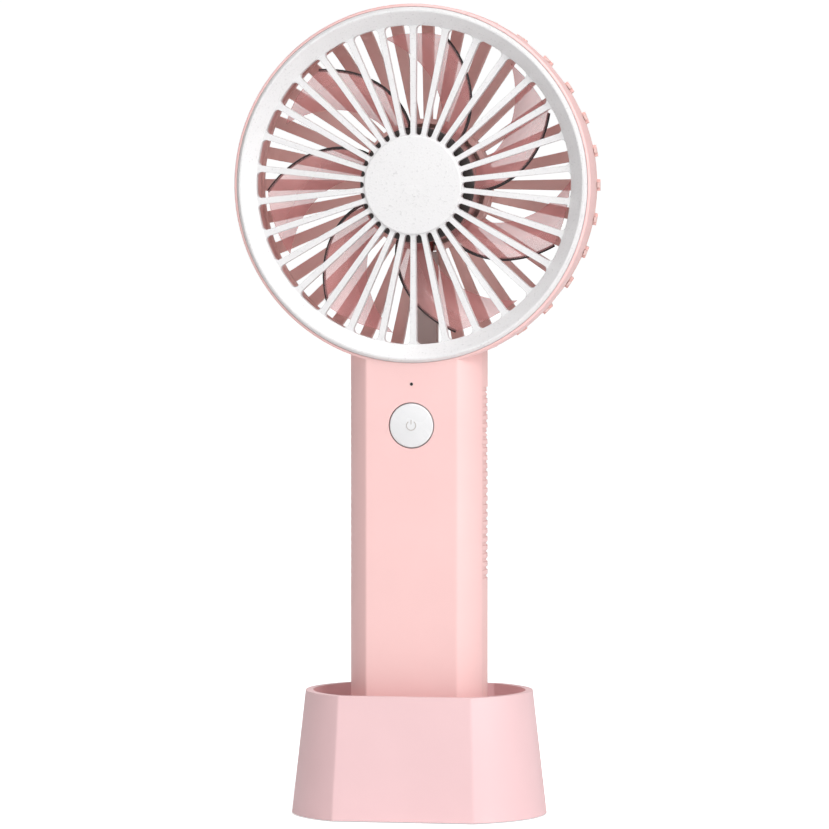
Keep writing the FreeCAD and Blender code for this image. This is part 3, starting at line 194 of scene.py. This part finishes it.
def make_head_distance():
    """How far a place is from the line that the impeller turns about."""
    tree, _, out = new_group("Head distance", {}, {"Distance": VALUE})
    place = add(tree, "ShaderNodeSeparateXYZ", {0: place_in_object(tree)}).outputs
    across = maths(tree, "SUBTRACT", place["X"], HEAD.x)
    up = maths(tree, "SUBTRACT", place["Z"], HEAD.z)
    squared = maths(tree, "ADD", maths(tree, "MULTIPLY", across, across), maths(tree, "MULTIPLY", up, up))
    tree.links.new(maths(tree, "SQRT", squared), out["Distance"])
    return tree


def make_turned_marks(head_distance):
    """The rings that a lathe or a mould's turned core leaves round the head's line."""
    tree, given, out = new_group("Turned marks", {"Pitch": 0.25 * MM}, {"Height": VALUE})
    distance = add(tree, "ShaderNodeGroup", node_tree=head_distance).outputs["Distance"]
    turns = maths(tree, "MULTIPLY", maths(tree, "DIVIDE", distance, given["Pitch"]), math.tau)
    wave = maths(tree, "MULTIPLY", maths(tree, "SINE", turns), 0.35)
    grit = noise(tree, 1800.0, 2.0, 0.5)
    tree.links.new(maths(tree, "ADD", wave, grit), out["Height"])
    return tree


def make_wound_wire():
    """Round strands or thin plates laid side by side along the object's Y."""
    tree, given, out = new_group("Wound wire", {"Pitch": 0.3 * MM}, {"Height": VALUE})
    place = add(tree, "ShaderNodeSeparateXYZ", {0: place_in_object(tree)}).outputs["Y"]
    turns = maths(tree, "MULTIPLY", maths(tree, "DIVIDE", place, given["Pitch"]), math.pi)
    tree.links.new(maths(tree, "ABSOLUTE", maths(tree, "SINE", turns)), out["Height"])
    return tree


MOULD_GRAIN = make_mould_grain()
SOFT_EDGE = make_soft_edge()
PAINTED_CREVICE_SHADE = make_painted_crevice_shade()
SETTLED_DUST = make_settled_dust()
FINE_SCRATCHES = make_fine_scratches()
HEAD_DISTANCE = make_head_distance()
TURNED_MARKS = make_turned_marks(HEAD_DISTANCE)
WOUND_WIRE = make_wound_wire()


# Materials


def new_material(name):
    """A material with only its Principled shader and output."""
    material = bpy.data.materials.new(name)
    material.use_nodes = True
    tree = material.node_tree
    tree.nodes.clear()
    shader = tree.nodes.new("ShaderNodeBsdfPrincipled")
    output = tree.nodes.new("ShaderNodeOutputMaterial")
    tree.links.new(shader.outputs[0], output.inputs["Surface"])
    return material, tree, shader.inputs


def use_group(tree, group, **values):
    """The outputs of a group placed in a material. An input's name is written with _ for its space."""
    placed = add(tree, "ShaderNodeGroup", node_tree=group)
    for key, value in values.items():
        placed.inputs[key.replace("_", " ")].default_value = value
    return placed.outputs


def bump(tree, height, strength, distance, normal=None):
    inputs = {"Height": height, "Strength": strength, "Distance": distance}
    if normal is not None:
        inputs["Normal"] = normal
    return add(tree, "ShaderNodeBump", inputs).outputs[0]


def shade(colour, factor):
    return (colour[0] * factor, colour[1] * factor, colour[2] * factor, 1.0)


DUST = (0.80, 0.78, 0.75, 1.0)
SPECK_SHADE = 0.55
# Painted shade: how dark a colour turns in the inner corners and grooves.
PAINTED_SHADE_TONE = 0.45
EDGE_WHITENING = 0.3


def moulded(name, colour, roughness, grain_depth=30 * MICRON, grain_scale=2600.0, speck=0.0,
            edge_radius=0.2 * MM, edge_light=0.25, crevice_shade_strength=0.30, dust=0.10, cloud_shade=0.05):
    """A moulded plastic or rubber: grain, cloudy gloss, soft edges, painted shade darkening the grooves
    and a little dust.
    """
    material, tree, shader = new_material(name)
    grain = use_group(tree, MOULD_GRAIN, Scale=grain_scale)
    edge = use_group(tree, SOFT_EDGE, Radius=edge_radius)
    crevice_shade_mask = use_group(tree, PAINTED_CREVICE_SHADE)["Mask"]
    settled = use_group(tree, SETTLED_DUST)["Mask"]
    clouded = maths(tree, "MULTIPLY", grain["Cloud"], cloud_shade)
    specked = maths(tree, "MULTIPLY", grain["Speck"], speck)
    dimmed = maths(tree, "ADD", clouded, specked)
    base = blend_colour(tree, dimmed, shade(colour, 1.0), shade(colour, SPECK_SHADE))
    # Painted shade: the colour darkens where the corners and grooves close in.
    painted_shade_amount = maths(tree, "MULTIPLY", crevice_shade_mask, crevice_shade_strength)
    base = blend_colour(tree, painted_shade_amount, base, shade(colour, PAINTED_SHADE_TONE))
    lighter = tuple(channel + (1 - channel) * EDGE_WHITENING for channel in colour) + (1.0,)
    base = blend_colour(tree, maths(tree, "MULTIPLY", edge["Edge"], edge_light), base, lighter)
    base = blend_colour(tree, maths(tree, "MULTIPLY", settled, dust), base, DUST)
    tree.links.new(base, shader["Base Color"])
    rough = spread(tree, grain["Cloud"], 0.0, 1.0, roughness - 0.04, roughness + 0.05)
    rough = maths(tree, "ADD", rough, maths(tree, "MULTIPLY", settled, dust), clamp=True)
    tree.links.new(rough, shader["Roughness"])
    tree.links.new(bump(tree, grain["Height"], 1.0, grain_depth, edge["Normal"]), shader["Normal"])
    return material, tree, shader


def dock_pink():
    return moulded("dock pink", (0.86, 0.585, 0.60), 0.42, grain_depth=20 * MICRON, dust=0.12)[0]


def front_pink():
    return moulded("front pink", (0.93, 0.60, 0.585), 0.38, grain_depth=15 * MICRON)[0]


def rear_pink():
    return moulded("rear pink", (0.92, 0.60, 0.58), 0.40, grain_depth=15 * MICRON, edge_radius=0.1 * MM,
                   crevice_shade_strength=0.55)[0]


def rib_pink():
    return moulded("rib pink", (0.92, 0.62, 0.58), 0.42, grain_depth=15 * MICRON,
                   edge_radius=0.25 * MM)[0]


def duct_grey():
    return moulded("duct grey", (0.56, 0.51, 0.49), 0.50, dust=0.2)[0]


GRILLE_EDGE = 0.22 * MM
# Grey painted shade on the rounded sides of the spokes.
SPOKE_PAINTED_SHADE = (0.30, 0.28, 0.29, 1.0)


def grille_white():
    """A pearly white with a coarse grain that glints, and grey painted shade on the rounded sides of the
    spokes.
    """
    material, tree, shader = moulded("grille white", (0.82, 0.81, 0.815), 0.40, grain_depth=80 * MICRON,
                                     grain_scale=1700.0, speck=0.4, edge_radius=GRILLE_EDGE,
                                     crevice_shade_strength=0.25)
    distance = use_group(tree, HEAD_DISTANCE)["Distance"]
    on_spokes = spread(tree, distance, SLOT_OUTER + 0.2 * MM, SLOT_OUTER + 0.8 * MM, 0.8, 0.0)
    # Painted shade: the spokes' rounded sides turn grey in the base colour.
    sides = use_group(tree, SOFT_EDGE, Radius=GRILLE_EDGE)["Edge"]
    base = shader["Base Color"].links[0].from_socket
    base = blend_colour(tree, maths(tree, "MULTIPLY", sides, on_spokes), base, SPOKE_PAINTED_SHADE)
    tree.links.new(base, shader["Base Color"])
    shader["Metallic"].default_value = 0.12
    shader["Coat Weight"].default_value = 0.12
    shader["Coat Roughness"].default_value = 0.3
    return material


def button_white():
    material, _, shader = moulded("button white", (0.80, 0.80, 0.81), 0.26, grain_depth=6 * MICRON,
                                  edge_radius=0.15 * MM, crevice_shade_strength=0.0, dust=0.04)
    shader["Coat Weight"].default_value = 0.3
    shader["Coat Roughness"].default_value = 0.12
    return material


def hub_grey():
    """Dark grey plastic with the faint rings of its turned mould."""
    material, tree, shader = moulded("hub grey", (0.070, 0.062, 0.060), 0.36, dust=0.15)
    rings = use_group(tree, TURNED_MARKS, Pitch=0.6 * MM)["Height"]
    soft = use_group(tree, SOFT_EDGE, Radius=0.3 * MM)["Normal"]
    tree.links.new(bump(tree, rings, 0.6, 20 * MICRON, soft), shader["Normal"])
    return material


def foot_rubber():
    return moulded("foot rubber", (0.045, 0.045, 0.047), 0.78, grain_depth=80 * MICRON,
                   grain_scale=1500.0, dust=0.35)[0]


def switch_black():
    return moulded("switch black", (0.025, 0.025, 0.027), 0.40, grain_depth=20 * MICRON,
                   grain_scale=4000.0)[0]


def foam_grey():
    """Open-celled foam: coarse pits, no gloss."""
    return moulded("foam grey", (0.09, 0.09, 0.095), 0.95, grain_depth=0.4 * MM, grain_scale=1100.0,
                   speck=0.6, edge_radius=0.6 * MM)[0]


def cell_wrap():
    """Shrink-wrapped film with a tight gloss and slight ripples along the cell."""
    material, _, shader = moulded("cell wrap", (0.03, 0.10, 0.30), 0.22, grain_depth=0.1 * MM,
                                  grain_scale=260.0, edge_radius=0.4 * MM, cloud_shade=0.15)
    shader["Coat Weight"].default_value = 0.4
    return material


def lead_insulation():
    return moulded("lead insulation", (0.20, 0.03, 0.027), 0.35, grain_depth=10 * MICRON,
                   edge_radius=50 * MICRON)[0]


def blade_pink():
    """See-through pink blades on a solid hub. Their moulded ripple shows in the gloss."""
    material, tree, shader = new_material("blade pink")
    distance = use_group(tree, HEAD_DISTANCE)["Distance"]
    grain = use_group(tree, MOULD_GRAIN, Scale=500.0)
    on_hub = spread(tree, distance, HUB_RADIUS + 0.2 * MM, HUB_RADIUS + 0.4 * MM, 1.0, 0.0)
    deeper = blend_colour(tree, grain["Cloud"], (0.94, 0.46, 0.45, 1.0), (0.88, 0.40, 0.40, 1.0))
    tree.links.new(blend_colour(tree, on_hub, deeper, (0.55, 0.33, 0.32, 1.0)), shader["Base Color"])
    edge_on = add(tree, "ShaderNodeLayerWeight", {"Blend": 0.35}).outputs["Facing"]
    thin = spread(tree, edge_on, 0.0, 1.0, 0.36, 0.78)
    tree.links.new(maths(tree, "MAXIMUM", thin, on_hub), shader["Alpha"])
    tree.links.new(spread(tree, grain["Cloud"], 0.0, 1.0, 0.10, 0.20), shader["Roughness"])
    tree.links.new(bump(tree, grain["Height"], 0.5, 40 * MICRON), shader["Normal"])
    shader["IOR"].default_value = 1.49
    return material


def led_clear():
    """The smoky clear end of a light pipe that is off."""
    material, _, shader = moulded("led clear", (0.010, 0.008, 0.008), 0.35, grain_depth=4 * MICRON,
                                  grain_scale=5000.0, edge_radius=50 * MICRON, edge_light=0.05, dust=0.0)
    shader["Coat Weight"].default_value = 0.1
    return material


STAIN_SHADE = 0.6
# Painted shade in a metal's grooves and inner corners: how dark, and how strongly.
METAL_PAINTED_SHADE_TONE = 0.25
METAL_PAINTED_SHADE_AMOUNT = 0.6
SCRATCH_DULLING = 0.12


def metal(name, colour, roughness, pitch=0.25 * MM, depth=8 * MICRON, stain=0.15):
    """A machined or pressed metal: fine turned rings, hairline scratches that dull the gloss, and painted
    shade darkening the grooves.
    """
    material, tree, shader = new_material(name)
    rings = use_group(tree, TURNED_MARKS, Pitch=pitch)["Height"]
    scratched = use_group(tree, FINE_SCRATCHES)["Mask"]
    crevice_shade_mask = use_group(tree, PAINTED_CREVICE_SHADE, Reach=1.0 * MM)["Mask"]
    cloud = use_group(tree, MOULD_GRAIN, Cloud_scale=140.0)["Cloud"]
    edge = use_group(tree, SOFT_EDGE, Radius=80 * MICRON)
    stained = maths(tree, "MULTIPLY", cloud, stain)
    base = blend_colour(tree, stained, shade(colour, 1.0), shade(colour, STAIN_SHADE))
    # Painted shade: the metal's colour darkens in its grooves and inner corners.
    painted_shade_amount = maths(tree, "MULTIPLY", crevice_shade_mask, METAL_PAINTED_SHADE_AMOUNT)
    base = blend_colour(tree, painted_shade_amount, base, shade(colour, METAL_PAINTED_SHADE_TONE))
    tree.links.new(base, shader["Base Color"])
    dull = spread(tree, cloud, 0.0, 1.0, roughness, roughness + 0.15)
    dull = maths(tree, "ADD", dull, maths(tree, "MULTIPLY", scratched, SCRATCH_DULLING), clamp=True)
    tree.links.new(dull, shader["Roughness"])
    tree.links.new(bump(tree, rings, 0.7, depth, edge["Normal"]), shader["Normal"])
    shader["Metallic"].default_value = 1.0
    return material, tree, shader


def screw_steel():
    return metal("screw steel", (0.52, 0.51, 0.50), 0.30)[0]


def yoke_steel():
    return metal("yoke steel", (0.58, 0.57, 0.55), 0.34, stain=0.25)[0]


def shaft_steel():
    return metal("shaft steel", (0.66, 0.66, 0.67), 0.18, pitch=0.1 * MM)[0]


def tube_brass():
    return metal("tube brass", (0.72, 0.52, 0.24), 0.30, stain=0.3)[0]


def tab_nickel():
    return metal("tab nickel", (0.62, 0.60, 0.56), 0.26, pitch=0.5 * MM)[0]


def capacitor_aluminium():
    return metal("capacitor aluminium", (0.74, 0.75, 0.76), 0.32, pitch=0.2 * MM)[0]


def core_steel():
    """Stacked laminations: fine layers along the head's line."""
    material, tree, shader = metal("core steel", (0.40, 0.40, 0.42), 0.42, stain=0.35)
    layers = use_group(tree, WOUND_WIRE, Pitch=0.35 * MM)["Height"]
    tree.links.new(bump(tree, layers, 1.0, 40 * MICRON), shader["Normal"])
    return material


def winding_copper():
    """Enamelled wire wound in close turns."""
    material, tree, shader = metal("winding copper", (0.78, 0.30, 0.13), 0.28, stain=0.4)
    turns = use_group(tree, WOUND_WIRE, Pitch=0.3 * MM)["Height"]
    tree.links.new(bump(tree, turns, 1.0, 0.1 * MM), shader["Normal"])
    shader["Coat Weight"].default_value = 0.5
    return material


def magnet_black():
    """Bonded magnet powder: dark, grainy and dull."""
    return moulded("magnet black", (0.035, 0.034, 0.036), 0.62, grain_depth=60 * MICRON,
                   grain_scale=3500.0)[0]


def board_green():
    """Solder mask over copper tracks."""
    material, tree, shader = moulded("board green", (0.015, 0.15, 0.055), 0.30, grain_depth=10 * MICRON,
                                     dust=0.05)
    pattern = {"Vector": place_in_object(tree), "Scale": 260.0, "Mortar Size": 0.05,
               "Color1": (0.0, 0.0, 0.0, 1.0), "Color2": (0.2, 0.2, 0.2, 1.0),
               "Mortar": (1.0, 1.0, 1.0, 1.0)}
    tracks = add(tree, "ShaderNodeTexBrick", pattern)
    mask = blend_colour(tree, tracks.outputs["Color"], (0.012, 0.13, 0.05, 1.0), (0.05, 0.27, 0.10, 1.0))
    tree.links.new(mask, shader["Base Color"])
    return material


MAKERS = (dock_pink, front_pink, rear_pink, rib_pink, duct_grey, grille_white, button_white, hub_grey,
          foot_rubber, switch_black, foam_grey, cell_wrap, lead_insulation, blade_pink, led_clear,
          screw_steel, yoke_steel, shaft_steel, tube_brass, tab_nickel, capacitor_aluminium, core_steel,
          winding_copper, magnet_black, board_green)
FINISHES = {make.__name__: make() for make in MAKERS}

for piece in nodes.values():
    for slot in piece.material_slots:
        slot.material = FINISHES[slot.material.name.split(".")[0]]


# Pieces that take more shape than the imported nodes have


def finish_piece(mesh, name, body, finish, smooth=True):
    """The mesh as a named piece that rides on a body, with a finish from the record."""
    mesh.normal_update()
    bmesh.ops.recalc_face_normals(mesh, faces=mesh.faces)
    data = bpy.data.meshes.new(name)
    mesh.to_mesh(data)
    mesh.free()
    data.polygons.foreach_set("use_smooth", [smooth] * len(data.polygons))
    piece = bpy.data.objects.new(name, data)
    bpy.context.scene.collection.objects.link(piece)
    piece.data.materials.append(FINISHES[finish])
    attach(piece, body)
    return piece


def lathe(profile, centre, steps=128):
    """A closed form turned about a line along Y. Its (radius, y) points start and end on that line."""
    mesh = bmesh.new()
    rows = []
    for radius, y in profile:
        if radius == 0:
            rows.append([mesh.verts.new((centre.x, y, centre.z))])
            continue
        angles = [math.tau * step / steps for step in range(steps)]
        rows.append([mesh.verts.new((centre.x + radius * math.cos(a), y, centre.z + radius * math.sin(a)))
                     for a in angles])
    for first, second in zip(rows, rows[1:]):
        for step in range(steps):
            after = (step + 1) % steps
            corners = [first[step % len(first)], first[after % len(first)],
                       second[after % len(second)], second[step % len(second)]]
            face = list(dict.fromkeys(corners))
            if len(face) > 2:
                mesh.faces.new(face)
    return mesh


def quarter_round(radius, y, reach, steps=8):
    """Points round an outer front edge, from the face out to the side."""
    turns = [math.pi / 2 * step / steps for step in range(steps + 1)]
    return [(radius - reach + reach * math.sin(turn), y + reach - reach * math.cos(turn))
            for turn in turns]


BUTTON_MIDDLE = middle("power_button")
BUTTON_LOW, BUTTON_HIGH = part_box("power_button")
BUTTON_LIP = 1.0 * MM
BUTTON_RADIUS = half_size("power_button").x - BUTTON_LIP
BUTTON_FLANGE = 0.8 * MM
BUTTON_CROWN = 0.45 * MM
BUTTON_SOFT = 0.45 * MM
CROWN_RINGS = 10


def crown_at(radius):
    """Where the button's domed face is, along Y, at a distance from its middle."""
    return BUTTON_LOW.y + BUTTON_CROWN * (radius / BUTTON_RADIUS) ** 2


def make_button_cap():
    """The button with its shallow dome and soft edge, over the flange that keeps it in."""
    rings = [BUTTON_RADIUS * ring / CROWN_RINGS for ring in range(CROWN_RINGS - 1)]
    profile = [(radius, crown_at(radius)) for radius in rings]
    profile += quarter_round(BUTTON_RADIUS, crown_at(BUTTON_RADIUS - BUTTON_SOFT), BUTTON_SOFT)
    flange_front = BUTTON_HIGH.y - BUTTON_FLANGE
    profile += [(BUTTON_RADIUS, flange_front), (BUTTON_RADIUS + BUTTON_LIP, flange_front),
                (BUTTON_RADIUS + BUTTON_LIP, BUTTON_HIGH.y), (0, BUTTON_HIGH.y)]
    cap = finish_piece(lathe(profile, BUTTON_MIDDLE), "button_cap", "button", "button_white")
    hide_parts("power_button")


def join_rows(mesh, rows):
    """Faces round a bar from its cross-sections' corners, closed at both ends."""
    sides = len(rows[0])
    for first, second in zip(rows, rows[1:]):
        for side in range(sides):
            after = (side + 1) % sides
            mesh.faces.new((first[side], first[after], second[after], second[side]))
    mesh.faces.new(rows[0])
    mesh.faces.new(rows[-1][::-1])


SYMBOL_RADIUS = 1.25 * MM
SYMBOL_LINE = 0.24 * MM
SYMBOL_PROUD = 0.03 * MM
SYMBOL_GAP = math.radians(35)
SYMBOL_STEPS = 48
SYMBOL_BAR_FOOT = SYMBOL_RADIUS * 0.25
SYMBOL_BAR_HEAD = SYMBOL_RADIUS * 1.2


def add_block(mesh, corners):
    """A block from eight corners: four in front, then the four behind them."""
    verts = [mesh.verts.new(corner) for corner in corners]
    for face in ((0, 1, 2, 3), (7, 6, 5, 4), (0, 4, 5, 1), (1, 5, 6, 2), (2, 6, 7, 3), (3, 7, 4, 0)):
        mesh.faces.new([verts[number] for number in face])


def on_crown(across, up, proud):
    """A place on the button's dome."""
    radius = math.hypot(across, up)
    return (BUTTON_MIDDLE.x + across, crown_at(radius) - proud, BUTTON_MIDDLE.z + up)


def make_power_symbol():
    """The plain power sign: a broken ring with a bar in its gap, just proud of the dome."""
    mesh = bmesh.new()
    half = SYMBOL_LINE / 2
    start = math.pi / 2 + SYMBOL_GAP
    sweep = math.tau - 2 * SYMBOL_GAP
    section = ((SYMBOL_RADIUS - half, SYMBOL_PROUD), (SYMBOL_RADIUS + half, SYMBOL_PROUD),
               (SYMBOL_RADIUS + half, -SYMBOL_PROUD), (SYMBOL_RADIUS - half, -SYMBOL_PROUD))
    rows = []
    for step in range(SYMBOL_STEPS + 1):
        angle = start + sweep * step / SYMBOL_STEPS
        rows.append([mesh.verts.new(on_crown(radius * math.cos(angle), radius * math.sin(angle), proud))
                     for radius, proud in section])
    join_rows(mesh, rows)
    outline = ((-half, SYMBOL_BAR_FOOT), (half, SYMBOL_BAR_FOOT),
               (half, SYMBOL_BAR_HEAD), (-half, SYMBOL_BAR_HEAD))
    add_block(mesh, [on_crown(x, z, SYMBOL_PROUD) for x, z in outline]
              + [on_crown(x, z, -SYMBOL_PROUD) for x, z in outline])
    finish_piece(mesh, "power_symbol", "button", "duct_grey", smooth=False)


def add_tube(mesh, path, radius, sides=8):
    """A round bead along a path that lies across Y, closed at both ends."""
    rows = []
    for index, point in enumerate(path):
        before = path[max(index - 1, 0)]
        after = path[min(index + 1, len(path) - 1)]
        along = (after - before).normalized()
        outward = Vector((0, 1, 0)).cross(along).normalized()
        behind = along.cross(outward)
        angles = [math.tau * side / sides for side in range(sides)]
        rows.append([mesh.verts.new(point + (outward * math.cos(a) + behind * math.sin(a)) * radius)
                     for a in angles])
    join_rows(mesh, rows)


BLADE_EDGE_RADIUS = 0.45 * MM
BLADE_EDGE_STEPS = 24


def make_blade_edge_shade():
    """A dark bead along the front edge of each blade, which sweeps round as it goes out to the tip. It is
    painted shade for the darkness that the clear blade's rounded edge shows by refraction.
    """
    mesh = bmesh.new()
    for blade in range(BLADE_COUNT):
        path = []
        for step in range(BLADE_EDGE_STEPS + 1):
            radius = HUB_RADIUS + (BLADE_TIP - HUB_RADIUS) * step / BLADE_EDGE_STEPS
            reach = max(radius * math.cos(BLADE_HALF_SPAN) - HUB_RADIUS, 0) / (BLADE_TIP - HUB_RADIUS)
            angle = BLADE_START + BLADE_SWEEP * reach ** BLADE_CURL + math.tau * blade / BLADE_COUNT
            path.append(Vector((HEAD.x + radius * math.cos(angle), BLADE_FRONT + BLADE_EDGE_RADIUS,
                                HEAD.z + radius * math.sin(angle))))
        add_tube(mesh, path, BLADE_EDGE_RADIUS)
    # The black bead is painted shade for the dark edges of the clear blades.
    finish_piece(mesh, "blade_edge_shade", "impeller", "switch_black")


make_button_cap()
make_power_symbol()
make_blade_edge_shade()


# Floor, light and camera


FLOOR_FRONT = -3.0
FLOOR_BACK = 1.2
FLOOR_HALF_WIDTH = 4.0
BEND_RADIUS = 1.2
BEND_STEPS = 16
WALL_TOP = 4.0
PAPER_GLOW = 0.6


def make_studio():
    """A pale floor that sweeps up behind the object. Its glow is seen but lights nothing."""
    mesh = bmesh.new()
    profile = [(FLOOR_FRONT, 0.0), (FLOOR_BACK, 0.0)]
    for step in range(1, BEND_STEPS + 1):
        turn = math.pi / 2 * step / BEND_STEPS
        profile.append((FLOOR_BACK + BEND_RADIUS * math.sin(turn),
                        BEND_RADIUS - BEND_RADIUS * math.cos(turn)))
    profile.append((FLOOR_BACK + BEND_RADIUS, WALL_TOP))
    rows = [[mesh.verts.new((x, y, z)) for x in (-FLOOR_HALF_WIDTH, FLOOR_HALF_WIDTH)]
            for y, z in profile]
    for first, second in zip(rows, rows[1:]):
        mesh.faces.new((first[0], first[1], second[1], second[0]))
    data = bpy.data.meshes.new("studio_floor")
    mesh.to_mesh(data)
    mesh.free()
    data.polygons.foreach_set("use_smooth", [True] * len(data.polygons))
    floor = bpy.data.objects.new("studio_floor", data)
    bpy.context.scene.collection.objects.link(floor)
    material, tree, shader = new_material("studio paper")
    paper = noise(tree, 300.0, 3.0, 0.5)
    tree.links.new(blend_colour(tree, paper, (0.90, 0.90, 0.90, 1.0), (0.93, 0.93, 0.93, 1.0)),
                   shader["Base Color"])
    tree.links.new(bump(tree, paper, 0.1, 0.2 * MM), shader["Normal"])
    shader["Roughness"].default_value = 0.9
    shader["Emission Color"].default_value = (1.0, 1.0, 1.0, 1.0)
    seen = add(tree, "ShaderNodeLightPath").outputs["Is Camera Ray"]
    tree.links.new(maths(tree, "MULTIPLY", seen, PAPER_GLOW), shader["Emission Strength"])
    floor.data.materials.append(material)


def add_light(name, place, aim_height, width, height, power):
    """A soft rectangular light that faces the object's upright line at a height."""
    data = bpy.data.lights.new(name, "AREA")
    data.shape = "RECTANGLE"
    data.size = width
    data.size_y = height
    data.energy = power
    light = bpy.data.objects.new(name, data)
    light.location = place
    towards = Vector((0, 0, aim_height)) - Vector(place)
    light.rotation_euler = towards.to_track_quat("-Z", "Y").to_euler()
    bpy.context.scene.collection.objects.link(light)


AIR_STRENGTH = 0.32


def make_lights():
    """Even light from the air, a key from the upper right in front, and softer fills round the object."""
    world = bpy.data.worlds.new("studio air")
    bpy.context.scene.world = world
    world.use_nodes = True
    background = world.node_tree.nodes["Background"].inputs
    background["Color"].default_value = (1.0, 1.0, 1.0, 1.0)
    background["Strength"].default_value = AIR_STRENGTH
    add_light("key", (0.80, -0.90, 0.90), 0.12, width=0.5, height=0.5, power=8.4)
    add_light("right_fill", (1.3, -0.55, 0.25), 0.10, width=0.5, height=0.6, power=3.8)
    add_light("front_fill", (-0.2, -1.4, 0.35), 0.12, width=0.9, height=0.7, power=2.0)
    add_light("top", (0.10, -0.40, 1.2), 0.10, width=0.7, height=0.7, power=5.2)
    add_light("back_fill", (-0.7, 1.2, 0.8), 0.12, width=0.8, height=0.8, power=3.0)


CAMERA_TURN = math.radians(10)
CAMERA_DIP = math.radians(2.4)
CAMERA_DISTANCE = 1.5
CAMERA_LENS = 241.0
CAMERA_SENSOR = 36.0
AIM_HEIGHT = 0.108
AIM_LEFT = 0.0013


def make_camera():
    """A long lens in front, a little above the aim and turned round towards +X."""
    right = Vector((math.cos(CAMERA_TURN), math.sin(CAMERA_TURN), 0))
    back = Vector((math.sin(CAMERA_TURN) * math.cos(CAMERA_DIP),
                   -math.cos(CAMERA_TURN) * math.cos(CAMERA_DIP), math.sin(CAMERA_DIP)))
    aim = Vector((0, 0, AIM_HEIGHT)) - right * AIM_LEFT
    data = bpy.data.cameras.new("camera")
    data.lens = CAMERA_LENS
    data.sensor_width = CAMERA_SENSOR
    camera = bpy.data.objects.new("camera", data)
    camera.location = aim + back * CAMERA_DISTANCE
    camera.rotation_euler = (-back).to_track_quat("-Z", "Y").to_euler()
    bpy.context.scene.collection.objects.link(camera)
    bpy.context.scene.camera = camera


make_studio()
make_lights()
make_camera()
bpy.context.scene.view_settings.view_transform = "Standard"
